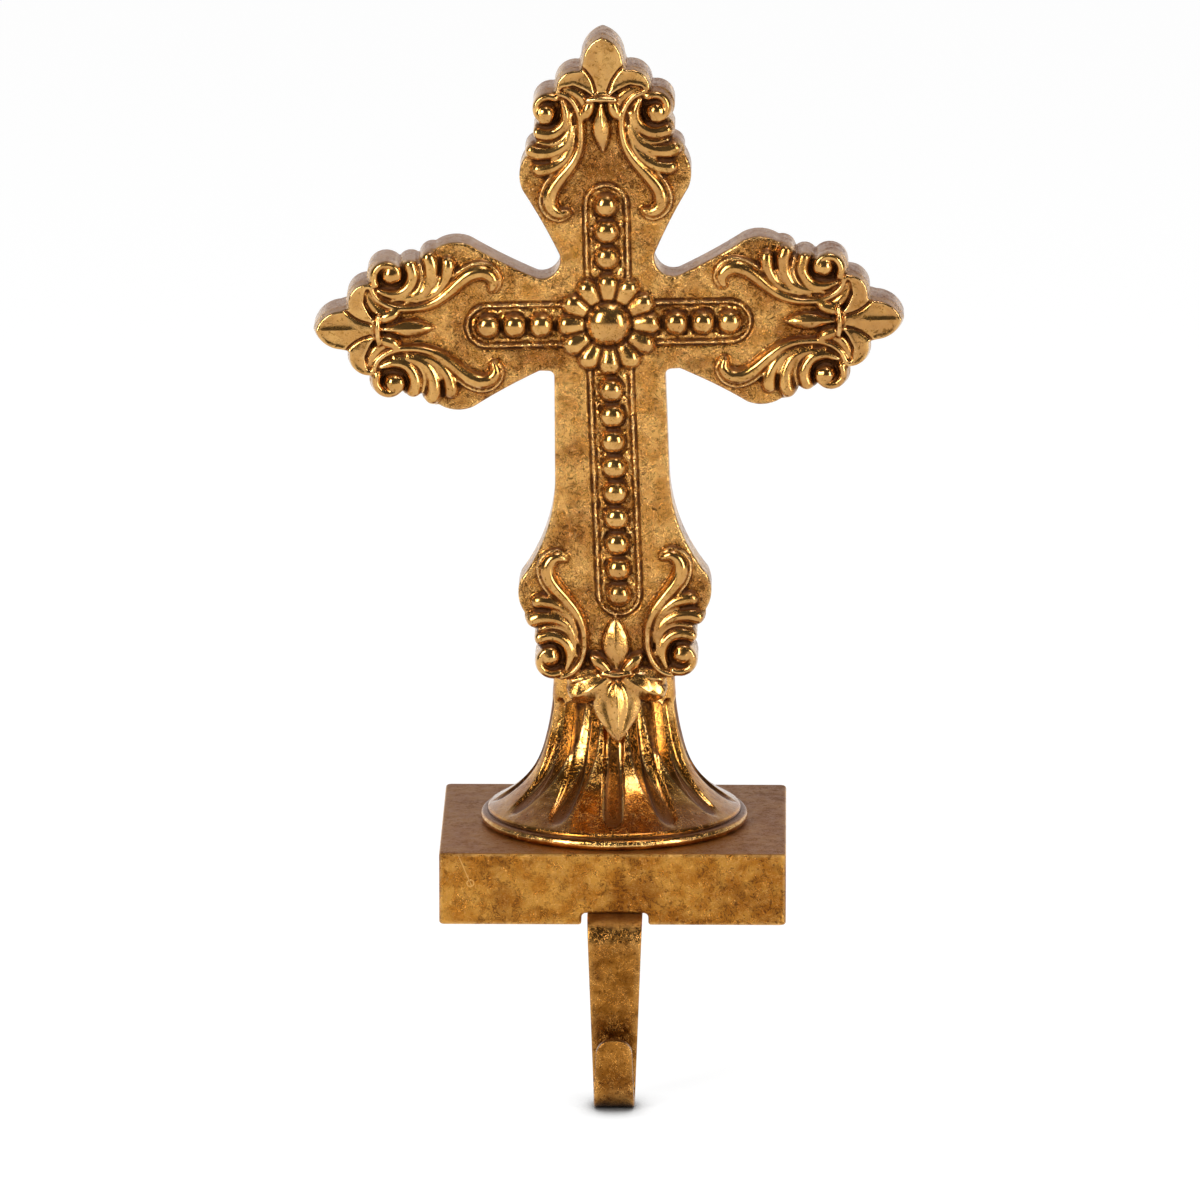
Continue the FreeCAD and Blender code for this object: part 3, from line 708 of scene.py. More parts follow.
# The cross as a solid
VOXEL_BAND = 3 * PITCH
VOXEL_MARGIN = 4 * PITCH
CROSS_EDGE = 0.9
STEEPEST = 3.0
NECK_FADE_LOW = -109.5
NECK_FADE_HIGH = -103.0
PLATE_END = -106.6
LEAF_BACK_Y = 1.0
CREVICE_BALL = 0.95
RIDGE_BALL = 1.0
CREVICE_WEIGHT = 1.6
BROAD_BLUR = 1.9
BROAD_WEIGHT = 0.08
WORN_EDGE = 0.8
FINE_CREVICE = 0.06
MOST_TRIANGLES = 196000


def flare(height):
    """Half width and half depth of the pedestal at heights above the block."""
    ease = 1 - (1 - way(height, WAIST_HEIGHT, NECK_HEIGHT)) ** 2
    fall = way(height, WAIST_HEIGHT, FLARE_FOOT)
    wide = FLARE_FOOT_RADIUS - WAIST_RADIUS
    deep = FLARE_FOOT_RADIUS - WAIST_HALF_DEPTH
    width = WAIST_RADIUS + (NECK_HALF_WIDTH - WAIST_RADIUS) * ease
    depth = WAIST_HALF_DEPTH + (NECK_HALF_DEPTH - WAIST_HALF_DEPTH) * ease
    return (
        width + wide * (0.33 * fall + 0.67 * fall ** 2.6),
        depth + deep * (0.42 * fall + 0.58 * fall ** 2.2),
    )


def neck_front():
    """How far the neck's front stands before the plate's face, over the drawing."""
    width, depth = flare(GZ + CENTRE_Z - BLOCK_TOP)
    across = np.clip(np.abs(GX + CENTRE_X + GZ * math.sin(-LEAN)) / width, 0, 1)
    front = depth * np.sqrt(1 - across ** 2) + FACE_Y
    return np.maximum(front, 0) * (1 - step_up(GZ, NECK_FADE_LOW, NECK_FADE_HIGH))


def rounded(a, b):
    """Where two solids overlap, with a rounded edge."""
    corner = np.hypot(np.maximum(a + CROSS_EDGE, 0), np.maximum(b + CROSS_EDGE, 0))
    return np.minimum(np.maximum(a, b), -CROSS_EDGE) + corner


def draw_relief(plate):
    for turn in (0, 90, 270):
        draw_scroll(turn, 0, 0)
        draw_lily(turn, plate)
    draw_scroll(180, FOOT_WIDEN, FOOT_SHIFT)
    draw_foot_lily()
    draw_flower()
    for turn in (0, 90, 270):
        draw_bead_row(turn, *ARM_BEADS)
    draw_bead_row(SHAFT_TURN, *SHAFT_BEADS)
    raised = np.clip(relief / RELIEF, 0, 1)
    relief[:] = blurred(relief, SOFTENING)
    relief[:] += (uneven(*WAVES) + uneven(*GRAIN)) * (1 - RAISED_CALM * raised)


def cross_field(distance, slab, back):
    """Values of the cross's solid on a grid of voxels, negative inside."""
    gx, gz = np.gradient(slab, PITCH)
    steep = np.sqrt(1 + np.minimum(gx ** 2 + gz ** 2, STEEPEST ** 2))
    ys = np.arange(FACE_Y - slab.max() - VOXEL_MARGIN, BACK_Y + VOXEL_MARGIN, PITCH)
    field = np.empty((len(xs), len(ys), len(zs)), np.float32)
    for j, y in enumerate(ys):
        front = (FACE_Y - slab - y) / steep
        field[:, j, :] = np.clip(rounded(rounded(distance, front), y - back), -VOXEL_BAND, VOXEL_BAND)
    return field, ys[0]


def surface_of(field):
    grid = openvdb.FloatGrid(VOXEL_BAND)
    grid.copyFromArray(field)
    points, tris, quads = grid.convertToPolygons(isovalue=0.0, adaptivity=0.0)
    return points, tris.tolist() + quads.tolist()


def lean_over(points):
    """From the upright drawing to the leaning place on the pedestal."""
    cos, sin = math.cos(LEAN), math.sin(LEAN)
    return points @ [[cos, 0, sin], [0, 1, 0], [-sin, 0, cos]] + (CENTRE_X, 0, CENTRE_Z)


def on_grid(values, x, z):
    """Values of the drawing at given places, read between its points."""
    i = np.clip((x - xs[0]) / PITCH, 0, len(xs) - 1.001)
    k = np.clip((z - zs[0]) / PITCH, 0, len(zs) - 1.001)
    column, row = i.astype(int), k.astype(int)
    right, up = i - column, k - row
    low = values[column, row] * (1 - up) + values[column, row + 1] * up
    high = values[column + 1, row] * (1 - up) + values[column + 1, row + 1] * up
    return low * (1 - right) + high * right


def build_cross():
    plate = signed_distance(plate_outline())
    draw_relief(plate)
    distance = np.minimum(plate, signed_distance(foot_leaf_outline()))
    on_plate = (plate < 0.3) & (GZ >= PLATE_END)
    back = np.where(on_plate, BACK_Y, LEAF_BACK_Y)
    field, first_y = cross_field(distance, relief + neck_front(), back)
    points, faces = surface_of(field)
    places = points.astype(float) * PITCH + np.array([xs[0], first_y, zs[0]])
    piece = new_piece("cross_relief", places, faces)
    crevice = filled(relief, CREVICE_BALL) - relief
    fine = on_grid(crevice, places[:, 0], places[:, 2]) > FINE_CREVICE
    thin_out(piece, MOST_TRIANGLES, fine & (places[:, 1] < FACE_Y + 0.6))
    mark_cross(piece, distance, crevice)
    moved = lean_over(mesh_points(piece.data) / MM) * MM
    piece.data.vertices.foreach_set("co", moved.astype(np.float32).ravel())
    orient(piece)
    return piece


def mark_cross(piece, distance, crevice):
    """Point attributes for the gilding: height of the relief, hollows and worn edges."""
    x, y, z = (mesh_points(piece.data) / MM).T
    front = step_up(-y, 6.0, 6.8)
    broad = np.maximum(blurred(relief, BROAD_BLUR) - relief, 0)
    ridge = np.clip((relief + filled(-relief, RIDGE_BALL) - 0.07) / 0.3, 0, 1)
    hollow = on_grid(crevice, x, z) * CREVICE_WEIGHT + on_grid(broad, x, z) * BROAD_WEIGHT
    edge = np.maximum(hill(on_grid(distance, x, z), 0, WORN_EDGE), on_grid(ridge, x, z))
    put_attribute(piece, "raised", np.clip(on_grid(relief, x, z) / RELIEF, 0, 1) * front)
    put_attribute(piece, "hollow", np.clip(hollow * front, -1, 1))
    put_attribute(piece, "edge", edge * step_up(-y, 5.4, 6.4))


# Pedestal

FLUTES = 12
COLUMNS = 48
FLUTE_DEPTH = 1.7
FLUTE_HALF = 2.4
FLUTE_SPREAD = 0.6
FLUTE_SPREAD_HEIGHTS = (8, 26)
FLUTE_LOW = 5.4
FLUTE_HIGH = 37.4
FLUTE_END = 2.6
FLUTE_TOP_END = 2.2
FLUTE_MOST_SHARE = 0.31
FLUTE_ROUNDNESS = 3.6
NECK_EDGE = 0.9
RING_STEP = 0.42
FOOT_SWELL = 1.6


def flute_share(height, angle):
    """How far out in the nearest flute a place lies: 0 in its middle, 1 on its border."""
    pitch = math.pi * 2 / FLUTES
    offset = np.abs((angle + pitch / 2) % pitch - pitch / 2)
    width, depth = flare(height)
    around = 0.5 * (width + depth)
    half = (FLUTE_HALF + FLUTE_SPREAD * (1 - step_up(height, *FLUTE_SPREAD_HEIGHTS))) / around
    half = np.minimum(half, pitch * FLUTE_MOST_SHARE)
    below, above = FLUTE_LOW + FLUTE_END - height, height - FLUTE_HIGH + FLUTE_TOP_END
    return np.hypot(offset / half, np.maximum(np.maximum(below, above), 0) / FLUTE_END)


def build_pedestal():
    columns = FLUTES * COLUMNS
    angles = np.arange(columns) * 2 * math.pi / columns
    rings = []

    def add_ring(height, half_width, half_depth):
        level = np.full(columns, BLOCK_TOP + height)
        rings.append(np.stack([half_width * np.sin(angles), -half_depth * np.cos(angles), level], axis=1))

    add_ring(0, 0, 0)
    rim_middle = RIM_RADIUS - RIM_BEAD
    for radius, height in arc((rim_middle, RIM_BEAD), RIM_BEAD, -90, 90, 12):
        add_ring(height, radius, radius)
    add_ring(RIM_BEAD * 2 - 0.12, rim_middle - 0.55, rim_middle - 0.55)
    for height in np.arange(RIM_BEAD * 2 + 0.25, NECK_HEIGHT - NECK_EDGE, RING_STEP):
        width, depth = flare(height)
        swell = way(height, FLARE_FOOT, 0) * FOOT_SWELL
        sink = FLUTE_DEPTH * np.sqrt(np.maximum(1 - flute_share(height, angles) ** FLUTE_ROUNDNESS, 0))
        add_ring(height, width + swell - sink, depth + swell - sink)
    for inset, rise in arc((NECK_EDGE, 0), NECK_EDGE, 180, 90, 5):
        height = NECK_HEIGHT - NECK_EDGE + rise
        width, depth = flare(height)
        add_ring(height, width - inset, depth - inset)
    add_ring(NECK_HEIGHT, 0, 0)
    piece = loft("pedestal", rings, capped=False)
    mark_flutes(piece)
    return piece


def mark_flutes(piece):
    """Point attributes of the flutes: hollow inside them, with painted shade in a band above the rim, and
    edge along their borders and on the rim, partly painted highlight.
    """
    points = mesh_points(piece.data) / MM
    height = points[:, 2] - BLOCK_TOP
    share = flute_share(height, np.arctan2(points[:, 0], -points[:, 1]))
    within = step_up(-share, -0.98, -0.85)
    # Band just above the rim, added to the hollow below and darkened in the gilt: painted shade.
    foot = hill(height, RIM_BEAD * 2 + 0.2, 0.7)
    hollow = np.maximum(hollows(piece.data, 10, 0.5), 0)
    put_attribute(piece, "hollow", hollow + 0.24 * within + 0.3 * hill(share, 0.86, 0.1) + 0.5 * foot)
    # Edge along the flute borders and on the rim's top, paled in the gilt: painted highlight along with wear.
    put_attribute(piece, "edge", np.maximum(hill(share, 1.06, 0.14), hill(height, 1.9, 0.8)))


# Block

def slot_outline():
    side = SLOT_WIDTH / 2
    middle = side - SLOT_CORNER
    level = SLOT_CEILING - SLOT_CORNER
    points = [(-side, -SLOT_OVERLAP), *arc((-middle, level), SLOT_CORNER, 180, 90, 6)]
    points += [*arc((middle, level), SLOT_CORNER, 90, 0, 6), (side, -SLOT_OVERLAP)]
    return [(x + STRAP_OFFSET, z) for x, z in points]


def build_block():
    outline = rounded_rectangle(BLOCK_WIDTH, BLOCK_DEPTH, BLOCK_CORNER, 8)
    block = prism("block", outline, BLOCK_BOTTOM, BLOCK_TOP, True)
    front, end = BLOCK_FRONT - SLOT_OVERLAP, BLOCK_FRONT + SLOT_LENGTH
    cutter = prism("slot_cutter", slot_outline(), front, end, False)
    cut = block.modifiers.new("slot", "BOOLEAN")
    cut.operation = "DIFFERENCE"
    cut.solver = "EXACT"
    cut.object = cutter
    bake(block)
    bpy.data.objects.remove(cutter)
    round_edges(block, BLOCK_RIM, 4, True)
    return block


# Strap hook

TONGUE_EDGE = 0.35
STRAP_CORNER = 0.5


def strap_path():
    """Centre line as (y, z, tangent y, tangent z), from the tang's end to the tongue's top."""
    half = STRAP_THICK / 2
    level = SLOT_CEILING - half
    bend = BEND_RADIUS + half
    drop_y = BLOCK_FRONT - bend
    bend_z = level - bend
    crook = HOOK_GAP / 2 + half
    crook_z = HOOK_BOTTOM + half + crook
    rows = [(BLOCK_FRONT + TANG_LENGTH, level, -1, 0), (BLOCK_FRONT + 0.2, level, -1, 0)]
    for a in np.radians(np.linspace(0, 90, 17)):
        y, z = BLOCK_FRONT - bend * math.sin(a), bend_z + bend * math.cos(a)
        rows.append((y, z, -math.cos(a), -math.sin(a)))
    for z in np.linspace(bend_z, crook_z, 25)[1:-1]:
        rows.append((drop_y, z, 0, -1))
    for a in np.radians(np.linspace(0, 180, 33)):
        y, z = drop_y - crook + crook * math.cos(a), crook_z - crook * math.sin(a)
        rows.append((y, z, -math.sin(a), -math.cos(a)))
    straight = np.linspace(0.06, 0.62, 10)
    closing = 0.62 + 0.38 * np.sin(np.linspace(0.05, math.pi / 2, 22))
    for share in (*straight, *closing):
        rows.append((drop_y - 2 * crook, crook_z + (TONGUE_TOP - crook_z) * share, 0, 1))
    return rows


def strap_half_width(y, z):
    half = np.interp(z, (HOOK_BOTTOM, SLOT_CEILING), (STRAP_FOOT_WIDTH, STRAP_WIDTH)) / 2
    hook_middle = BLOCK_FRONT - BEND_RADIUS - STRAP_THICK - HOOK_GAP / 2
    if y < hook_middle:
        straight_end = TONGUE_TOP - TONGUE_CORNER
        half = np.interp(z, (HOOK_BOTTOM, straight_end), (STRAP_FOOT_WIDTH, TONGUE_WIDTH)) / 2
        over = max(z - straight_end, 0)
        half -= TONGUE_CORNER - math.sqrt(max(TONGUE_CORNER ** 2 - over ** 2, 0))
    return half


def build_strap():
    rings = []
    rows = strap_path()
    for row in rows:
        y, z, along_y, along_z = row
        thick = STRAP_THICK - (2 * TONGUE_EDGE if row is rows[-1] else 0)
        section = rounded_rectangle(2 * strap_half_width(y, z), thick, STRAP_CORNER, 5)
        rings.append([(STRAP_OFFSET + x, y - along_z * out, z + along_y * out) for x, out in section])
    piece = loft("hook", rings)
    cut_long_faces(piece)
    put_attribute(piece, "hollow", hollows(piece.data, 6, 0.4))
    put_attribute(piece, "edge", np.clip(-hollows(piece.data, 4, 0.12), 0, 1))
    return piece


def cut_long_faces(piece):
    """Long faces cut across, so that the attributes have points to lie on."""
    with edited(piece) as bm:
        long_edges = [e for e in bm.edges if e.calc_length() > 3 * MM and len(e.link_faces) == 2
                      and all(len(f.verts) == 4 for f in e.link_faces)]
        bmesh.ops.subdivide_edges(bm, edges=long_edges, cuts=8, use_grid_fill=True)


# Pad

PAD_CORNER = 3.0
PAD_EDGE = 0.3
NOTCH_MARGIN = 2.0


def build_pad():
    """Thin felt pad, notched for the strap, with soft edges."""
    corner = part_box("felt_pad")[1] / MM
    notch = SLOT_WIDTH / 2 + NOTCH_MARGIN
    notch_end = BLOCK_FRONT + SLOT_LENGTH + NOTCH_MARGIN
    outline = rounded_rectangle(corner.x * 2, corner.y * 2, PAD_CORNER, 8)
    back = [p for p in outline if p[1] > 0]
    left = [p for p in outline if p[0] < 0 and p[1] < 0]
    right = [p for p in outline if p[0] > 0 and p[1] < 0]
    gap = [(-notch, -corner.y), (-notch, notch_end), (notch, notch_end), (notch, -corner.y)]
    gap = [(STRAP_OFFSET + x, y) for x, y in gap]
    pad = prism("felt", back + left + gap + right, 0.0, BLOCK_BOTTOM, True)
    round_edges(pad, PAD_EDGE, 3, False)
    return pad


# Materials

COLOUR_A = 6
COLOUR_B = 7
COLOUR_RESULT = 2


class Nodes:
    """Small helper that adds nodes to a node tree."""

    def __init__(self, tree):
        self.tree = tree

    def node(self, kind, inputs=None, **settings):
        """New shader node; its inputs are values or other nodes' outputs."""
        made = self.tree.nodes.new("ShaderNode" + kind)
        for key, value in settings.items():
            setattr(made, key, value)
        self.put_all(inputs or {}, made)
        return made

    def put(self, value, socket):
        if isinstance(value, bpy.types.NodeSocket):
            self.tree.links.new(value, socket)
        else:
            socket.default_value = value

    def put_all(self, inputs, node):
        for key, value in inputs.items():
            self.put(value, node.inputs[key])

    def math(self, operation, a, b=0.0, clamp=False):
        return self.node("Math", {0: a, 1: b}, operation=operation, use_clamp=clamp).outputs[0]

    def plus(self, a, b):
        return self.math("ADD", a, b)

    def minus(self, a, b):
        return self.math("SUBTRACT", a, b)

    def times(self, a, b, clamp=False):
        return self.math("MULTIPLY", a, b, clamp)

    def most(self, a, b):
        return self.math("MAXIMUM", a, b)

    def apart(self, a, b):
        return self.math("ABSOLUTE", self.minus(a, b))

    def vector_math(self, operation, inputs):
        made = self.node("VectorMath", inputs, operation=operation)
        return made.outputs["Value" if operation in ("DOT_PRODUCT", "DISTANCE", "LENGTH") else "Vector"]

    def span(self, value, low, high, start=0.0, end=1.0):
        """Smooth step from start at low to end at high."""
        ends = {"Value": value, "From Min": low, "From Max": high, "To Min": start, "To Max": end}
        return self.node("MapRange", ends, interpolation_type="SMOOTHSTEP").outputs["Result"]

    def blend(self, factor, a, b):
        a, b = (v if isinstance(v, bpy.types.NodeSocket) else (*v, 1.0) for v in (a, b))
        made = self.node("Mix", data_type="RGBA")
        self.put_all({0: factor, COLOUR_A: a, COLOUR_B: b}, made)
        return made.outputs[COLOUR_RESULT]

    def parts(self, vector):
        return self.node("SeparateXYZ", {0: vector}).outputs


class Surface(Nodes):
    """One material, with patterns laid out in millimetres over the object's own place."""

    def __init__(self, name):
        self.material = bpy.data.materials.new(name)
        self.material.use_nodes = True
        super().__init__(self.material.node_tree)
        self.shader = self.tree.nodes["Principled BSDF"]
        self.place = self.node("TexCoord").outputs["Object"]

    def attribute(self, name):
        return self.node("Attribute", attribute_name=name).outputs["Fac"]

    def noise(self, size, detail, rough, distortion=0.0, place=None):
        """Noise with features of a size in millimetres."""
        return self.node("TexNoise", {
            "Vector": place or self.place, "Scale": 1 / (size * MM),
            "Detail": detail, "Roughness": rough, "Distortion": distortion,
        }).outputs["Fac"]

    def lines(self, size, width, place=None):
        """Thin winding lines: 1 on the line."""
        field = self.noise(size, 2.0, 0.5, 2.0, place)
        return self.span(self.apart(field, 0.5), 0.0, width, 1.0, 0.0)

    def moved(self, place):
        """Object place as seen from a place in millimetres."""
        return self.vector_math("SUBTRACT", {0: self.place, 1: tuple(Vector(place) * MM)})

    def bump(self, height, depth):
        """Bump whose full height is a depth in millimetres."""
        made = self.node("Bump", {"Height": height, "Distance": depth * MM, "Strength": 1.0})
        return made.outputs["Normal"]

    def scratch(self, start, end, width):
        """1 along a straight scratch between two places in millimetres, with a small loop at its end."""
        along = Vector(end) - Vector(start)
        from_start = self.moved(start)
        per_metre = tuple(along / (along.length_squared * MM))
        share = self.times(self.vector_math("DOT_PRODUCT", {0: from_start, 1: per_metre}), 1.0, clamp=True)
        onto = self.vector_math("SCALE", {0: tuple(along * MM), "Scale": share})
        away = self.vector_math("DISTANCE", {0: from_start, 1: onto})
        from_loop = self.vector_math("LENGTH", {0: self.moved(Vector(end) - along.normalized())})
        loop = self.apart(from_loop, 1.0 * MM)
        return self.span(self.math("MINIMUM", away, loop), 0.0, width * MM, 1.0, 0.0)

    def box_edge(self, middle, half, width):
        """1 on the edges of an upright box, given by its middle and half sizes in millimetres."""
        near = []
        for part, centre, reach in zip(self.parts(self.place), middle, half):
            near.append(self.span(self.apart(part, centre * MM), (reach - width) * MM, (reach - 0.3) * MM))
        pairs = [self.times(near[i], near[k]) for i, k in ((0, 1), (0, 2), (1, 2))]
        return self.most(self.most(pairs[0], pairs[1]), pairs[2])

    def up(self):
        return self.parts(self.node("NewGeometry").outputs["Normal"])["Z"]

    def finish(self, colour, metallic, roughness, normal):
        looks = {"Base Color": colour, "Metallic": metallic, "Roughness": roughness, "Normal": normal}
        self.put_all(looks, self.shader)
        return self.material


# Sizes of the gilding's patterns
CLOUD_SIZE = 14.0
PATCH_SIZE = 6.0
BREAK_SIZE = 3.6
MOTTLE_SIZE = 3.2
WORM_SIZE = 2.2
GLINT_SIZE = 1.7
PIT_SIZE = 1.3
FINE_SIZE = 0.9
LINE_WIDTH = 0.06
GLINT_PLACE = (-31, -31, -31)
# Start, end and width of the scratch on the block's front
SCRATCH = ((-45.1, BLOCK_FRONT, 21.9), (-41.2, BLOCK_FRONT, 12.6), 0.3)


def gilt(name, bright, pale, gold, rust, brown, painted_top_shade, patina, stained, rough, dull, coat, wrinkle, box=None):
    """Aged gold leaf: pale where worn and, on some edges, as painted highlight; brown in the hollows; duller
    on what faces up, and darkened there by painted shade.
    """
    s = Surface(name)
    hollow = s.attribute("hollow")
    edge = s.box_edge(*box) if box else s.attribute("edge")
    raised = s.attribute("raised")

    def fewer_raised(pattern, left):
        """A pattern of which only a share is left on the raised relief."""
        return s.times(pattern, s.span(raised, 0.2, 0.9, 1.0, left))

    # The cloud rises towards +x, so the right side gets more rust, stain and dark specks: painted shade on
    # that side, over random clouds.
    cloud = s.plus(s.noise(CLOUD_SIZE, 3.0, 0.6), s.times(s.parts(s.place)["X"], 1.2))
    mottle = s.noise(MOTTLE_SIZE, 5.0, 0.65)
    fine = s.noise(FINE_SIZE, 4.0, 0.7)
    broken = s.span(s.noise(BREAK_SIZE, 2.0, 0.5), 0.44, 0.58)
    worms = fewer_raised(s.times(s.lines(WORM_SIZE, LINE_WIDTH), broken), 0.4)
    glints = s.times(s.lines(GLINT_SIZE, LINE_WIDTH, s.moved(GLINT_PLACE)), s.minus(1.0, broken))
    glints = fewer_raised(glints, 0.2)
    pits = fewer_raised(s.span(s.noise(PIT_SIZE, 2.0, 0.5), 0.62, 0.68), 0.7)

    patches = s.plus(s.times(s.noise(PATCH_SIZE, 2.0, 0.5), 0.7), s.times(mottle, 0.3))
    leaf = s.blend(s.span(patches, 0.42, 0.58), gold, pale)
    leaf = s.blend(s.span(cloud, 0.46, 0.66, 0.0, 0.75), leaf, rust)
    leaf = s.blend(s.times(raised, 0.5), leaf, pale)
    leaf = s.blend(s.times(glints, 0.3), leaf, bright)
    leaf = s.blend(s.span(hollow, 0.03, 0.3, 0.0, 0.85), leaf, rust)

    stain = s.times(s.span(cloud, 0.46, 0.68), stained)
    stain = s.times(stain, s.span(mottle, 0.42, 0.6))
    stain = s.times(stain, s.span(raised, 0.3, 0.9, 1.0, 0.35))
    grime = s.plus(s.span(hollow, 0.12, 0.5), stain)
    grime = s.times(grime, s.span(fine, 0.25, 0.6, 0.6, 1.0))
    specks = s.most(s.times(pits, 0.8), s.times(worms, patina))
    specks = s.times(specks, s.span(cloud, 0.35, 0.6, 0.45, 1.0))
    # Pale on marked edges: wear, and on the pedestal's flute borders and rim also painted highlight.
    wear_and_painted_highlight = s.times(edge, s.span(mottle, 0.36, 0.6, 0.15, 1.0))
    grime = s.times(s.most(grime, specks), s.span(wear_and_painted_highlight, 0.0, 1.0, 1.0, 0.35), clamp=True)

    colour = s.blend(s.times(wear_and_painted_highlight, 0.65), leaf, bright)
    colour = s.blend(s.times(grime, 0.94), colour, brown)
    if box:
        colour = s.blend(s.times(s.scratch(*SCRATCH), 0.7), colour, bright)
    # What faces up is blended towards a darker colour: painted shade, not a colour of the finish.
    top = s.span(s.up(), 0.55, 0.95)
    colour = s.blend(s.times(top, 0.75), colour, painted_top_shade)

    roughness = s.plus(rough, s.times(grime, 0.25))
    roughness = s.plus(roughness, s.times(s.minus(mottle, 0.5), 0.3))
    roughness = s.plus(roughness, s.times(top, dull))
    metallic = s.span(grime, 0.3, 1.0, 1.0, 0.75)
    polish = s.times(s.span(grime, 0.0, 0.3, 1.0, 0.0), s.span(raised, 0.1, 0.7, 0.35, 1.0))
    shine = {"Coat Weight": s.times(polish, coat), "Coat Roughness": 0.1, "Specular IOR Level": 0.25}
    s.put_all(shine, s.shader)

    height = s.plus(s.times(mottle, 0.32), s.times(fine, 0.06))
    height = s.minus(height, s.times(specks, 0.6))
    height = s.plus(height, s.times(glints, 0.45))
    return s.finish(colour, metallic, roughness, s.bump(fewer_raised(height, 0.15), wrinkle))


def steel_material():
    s = Surface("zinc_steel")
    fine = s.noise(0.5, 3.0, 0.6)
    cloud = s.noise(4.0, 3.0, 0.6)
    colour = s.blend(s.span(cloud, 0.3, 0.7), (0.50, 0.50, 0.49), (0.62, 0.62, 0.60))
    roughness = s.span(cloud, 0.3, 0.7, 0.28, 0.42)
    return s.finish(colour, 1.0, roughness, s.bump(fine, 0.04))


def felt_material():
    s = Surface("black_felt")
    fibre = s.lines(0.7, 0.05)
    fluff = s.noise(0.6, 5.0, 0.7)
    colour = s.blend(s.span(fluff, 0.3, 0.7), (0.022, 0.020, 0.019), (0.060, 0.055, 0.050))
    colour = s.blend(s.times(fibre, 0.5), colour, (0.09, 0.085, 0.08))
    height = s.plus(s.times(fluff, 0.7), s.times(fibre, 0.5))
    return s.finish(colour, 0.0, 0.95, s.bump(height, 0.25))


# Scene: the places of camera and lamps in metres, the floor's sizes in millimetres

WHITE = (1, 1, 1, 1)
CAMERA_UP = math.radians(13.3)
CAMERA_ASIDE = math.radians(0.8)
CAMERA_DISTANCE = 4.0
CAMERA_TARGET = Vector((-0.0045, 0.0196181, 0.0842256))
CAMERA_LENS = 405.4
SENSOR_WIDTH = 36.0
LAMP_TARGET = (0, 0, 0.1)
# Name, place, size and watts of each lamp
LAMPS = (
    ("key", (-0.95, -1.05, 0.75), (0.5, 0.9), 22),
    ("fill", (1.05, -0.85, 0.45), (0.35, 0.9), 11.5),
    ("top", (0.25, -0.1, 1.3), (0.4, 0.3), 4),
)
FLOOR_HALF = 6000.0
FLOOR_DROP = 0.05
FLOOR_GREY = (0.86, 0.86, 0.86)
FLOOR_SEEN_GREY = (0.14, 0.14, 0.14)
FLOOR_GLOW = 0.93
SHADE_REACH = 12.0
ROOM_DARKEST = 0.09
ROOM_FADE = (0.15, 0.85)


def aim(thing, eye, target):
    """Puts a camera or lamp into the scene, turned towards a target."""
    thing.location = eye
    thing.rotation_euler = (Vector(target) - Vector(eye)).to_track_quat("-Z", "Y").to_euler()
    bpy.context.scene.collection.objects.link(thing)


def build_camera():
    """Camera at the photograph's angle."""
    data = bpy.data.cameras.new("camera")
    data.sensor_width = SENSOR_WIDTH
    data.lens = CAMERA_LENS
    data.clip_end = 50.0
    camera = bpy.data.objects.new("camera", data)
    level = math.cos(CAMERA_UP)
    back = (math.sin(CAMERA_ASIDE) * level, -math.cos(CAMERA_ASIDE) * level, math.sin(CAMERA_UP))
    aim(camera, CAMERA_TARGET + Vector(back) * CAMERA_DISTANCE, CAMERA_TARGET)
    bpy.context.scene.camera = camera


def build_lamp(name, eye, size, power):
    data = bpy.data.lights.new(name, "AREA")
    data.shape = "RECTANGLE"
    data.size, data.size_y = size
    data.energy = power
    aim(bpy.data.objects.new(name, data), eye, LAMP_TARGET)


def build_floor():
    """White to the camera and in mirrorings, with a little shade under the object."""
    corners = [(x * FLOOR_HALF, y * FLOOR_HALF) for x, y in ((-1, -1), (1, -1), (1, 1), (-1, 1))]
    floor = new_piece("floor", [(x, y, HOOK_BOTTOM - FLOOR_DROP) for x, y in corners], [(0, 1, 2, 3)])
    s = Surface("pale_floor")
    path = s.node("LightPath").outputs
    mirrored = s.most(path["Is Glossy Ray"], path["Is Transmission Ray"])
    seen = s.most(path["Is Camera Ray"], mirrored)
    near = s.node("AmbientOcclusion", {"Distance": SHADE_REACH * MM}, samples=6)
    shade = s.span(near.outputs["AO"], 0.35, 0.97, 0.0, FLOOR_GLOW)
    s.put_all({
        "Base Color": s.blend(seen, FLOOR_GREY, FLOOR_SEEN_GREY), "Roughness": 0.9,
        "Specular IOR Level": 0.0, "Emission Color": WHITE, "Emission Strength": s.times(seen, shade),
    }, s.shader)
    floor.data.materials.append(s.material)


def build_world():
    """White to the camera. To all else a white backdrop behind the object and a dimmer room in front."""
    world = bpy.data.worlds.new("studio")
    bpy.context.scene.world = world
    world.use_nodes = True
    w = Nodes(world.node_tree)
    place = w.node("TexCoord").outputs["Generated"]
    room = w.span(w.parts(place)["Y"], *ROOM_FADE, ROOM_DARKEST, 1.0)
    seen = w.node("LightPath").outputs["Is Camera Ray"]
    mix = w.node("Mix", {"Factor": seen, "A": room, "B": 1.0})
    background = w.tree.nodes["Background"]
    w.put(mix.outputs["Result"], background.inputs["Strength"])
    w.put(WHITE, background.inputs["Color"])


build_camera()
build_world()
build_floor()
for lamp in LAMPS:
    build_lamp(*lamp)
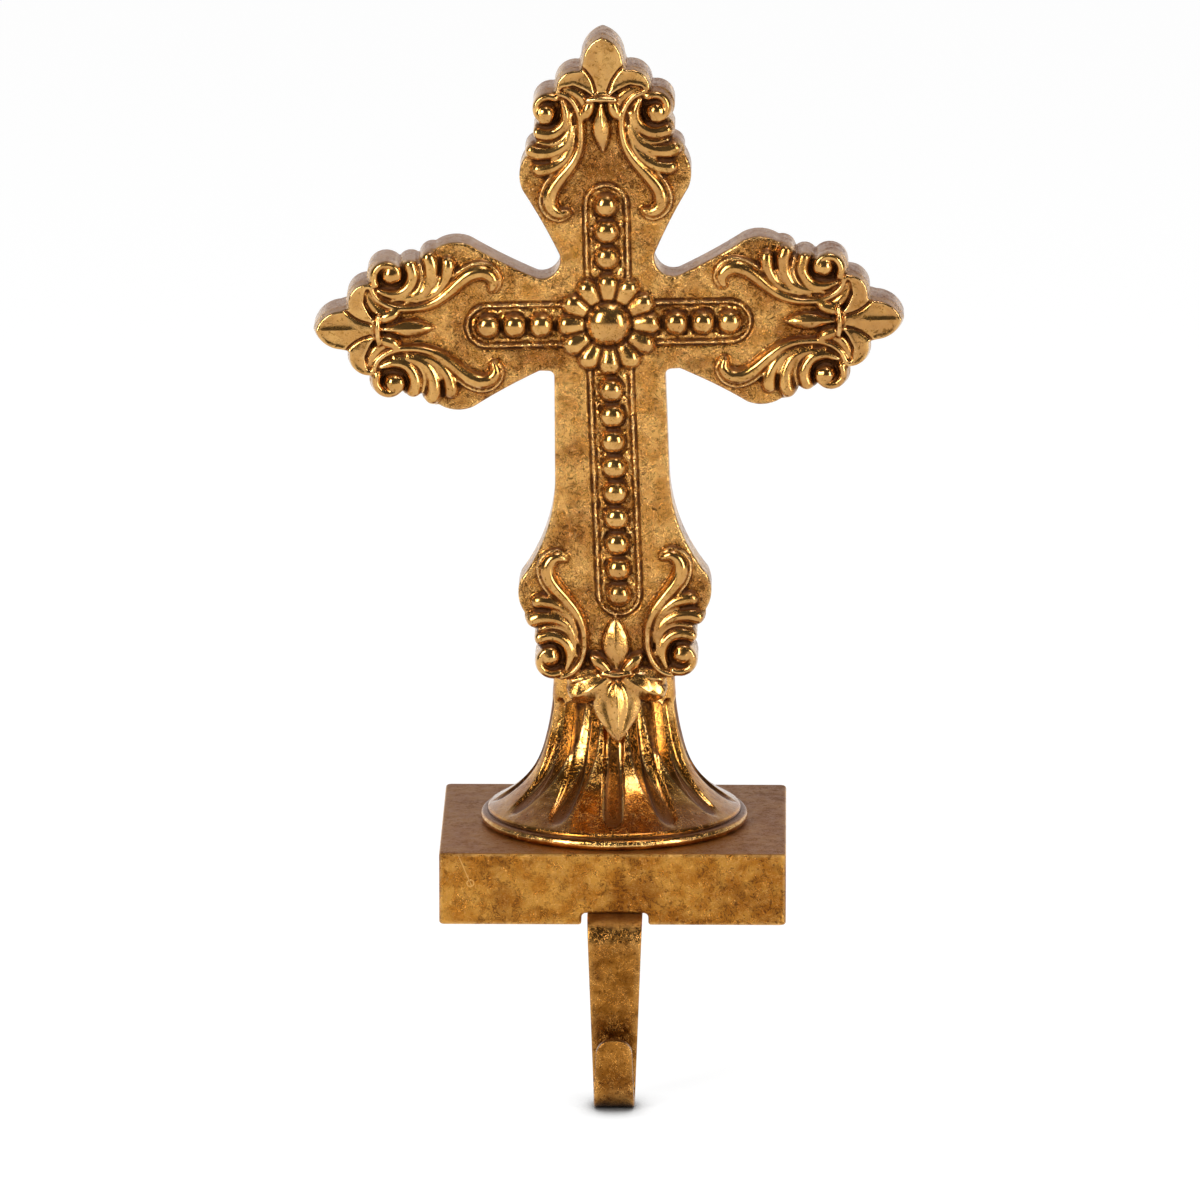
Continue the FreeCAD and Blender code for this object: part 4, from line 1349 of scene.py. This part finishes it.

# In each gilt below, the sixth colour is the painted shade laid on what faces up.
CASTING = gilt(
    "gilt_cross",
    bright=(0.88, 0.56, 0.22), pale=(0.62, 0.33, 0.085), gold=(0.47, 0.21, 0.038),
    rust=(0.29, 0.090, 0.010), brown=(0.045, 0.012, 0.0015), painted_top_shade=(0.23, 0.100, 0.042),
    patina=1.0, stained=0.35, rough=0.18, dull=0.2, coat=0.6, wrinkle=0.26,
)
PEDESTAL = gilt(
    "gilt_pedestal",
    bright=(0.95, 0.60, 0.22), pale=(0.74, 0.37, 0.080), gold=(0.57, 0.24, 0.036),
    rust=(0.33, 0.10, 0.010), brown=(0.028, 0.007, 0.001), painted_top_shade=(0.15, 0.048, 0.007),
    patina=0.45, stained=0.15, rough=0.11, dull=0.0, coat=0.7, wrinkle=0.06,
)
BLOCK_MIDDLE = (0.0, 0.0, (BLOCK_BOTTOM + BLOCK_TOP) / 2)
BLOCK_HALF = (BLOCK_WIDTH / 2, BLOCK_DEPTH / 2, (BLOCK_TOP - BLOCK_BOTTOM) / 2)
WORN_WIDTH = 1.3
BLOCK = gilt(
    "gilt_block",
    bright=(0.74, 0.42, 0.13), pale=(0.54, 0.25, 0.044), gold=(0.41, 0.155, 0.019),
    rust=(0.29, 0.093, 0.010), brown=(0.095, 0.027, 0.003), painted_top_shade=(0.19, 0.068, 0.014),
    patina=1.0, stained=0.2, rough=0.29, dull=0.2, coat=0.0, wrinkle=0.27,
    box=(BLOCK_MIDDLE, BLOCK_HALF, WORN_WIDTH),
)
STRAP = gilt(
    "gilt_strap",
    bright=(0.64, 0.33, 0.09), pale=(0.34, 0.135, 0.020), gold=(0.22, 0.078, 0.008),
    rust=(0.14, 0.041, 0.004), brown=(0.050, 0.014, 0.0015), painted_top_shade=(0.15, 0.055, 0.011),
    patina=0.4, stained=0.1, rough=0.24, dull=0.2, coat=0.1, wrinkle=0.10,
)


def dress(piece, material, slot, *nodes):
    piece.data.materials.append(material)
    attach(piece, "root")
    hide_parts(*nodes)


dress(build_cross(), CASTING, "gilt_casting", "cross_casting")
dress(build_pedestal(), PEDESTAL, "gilt_casting", "cross_casting")
dress(build_block(), BLOCK, "gilt_block", "base_block")
dress(build_strap(), STRAP, "gilt_strap", "hook_strap")
dress(build_pad(), felt_material(), "felt", "felt_pad")

steel = steel_material()
for node in ("hook_screws", "pedestal_screw"):
    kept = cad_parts[node]
    kept.data.materials.clear()
    kept.data.materials.append(steel)

bpy.context.scene.view_settings.view_transform = "Standard"
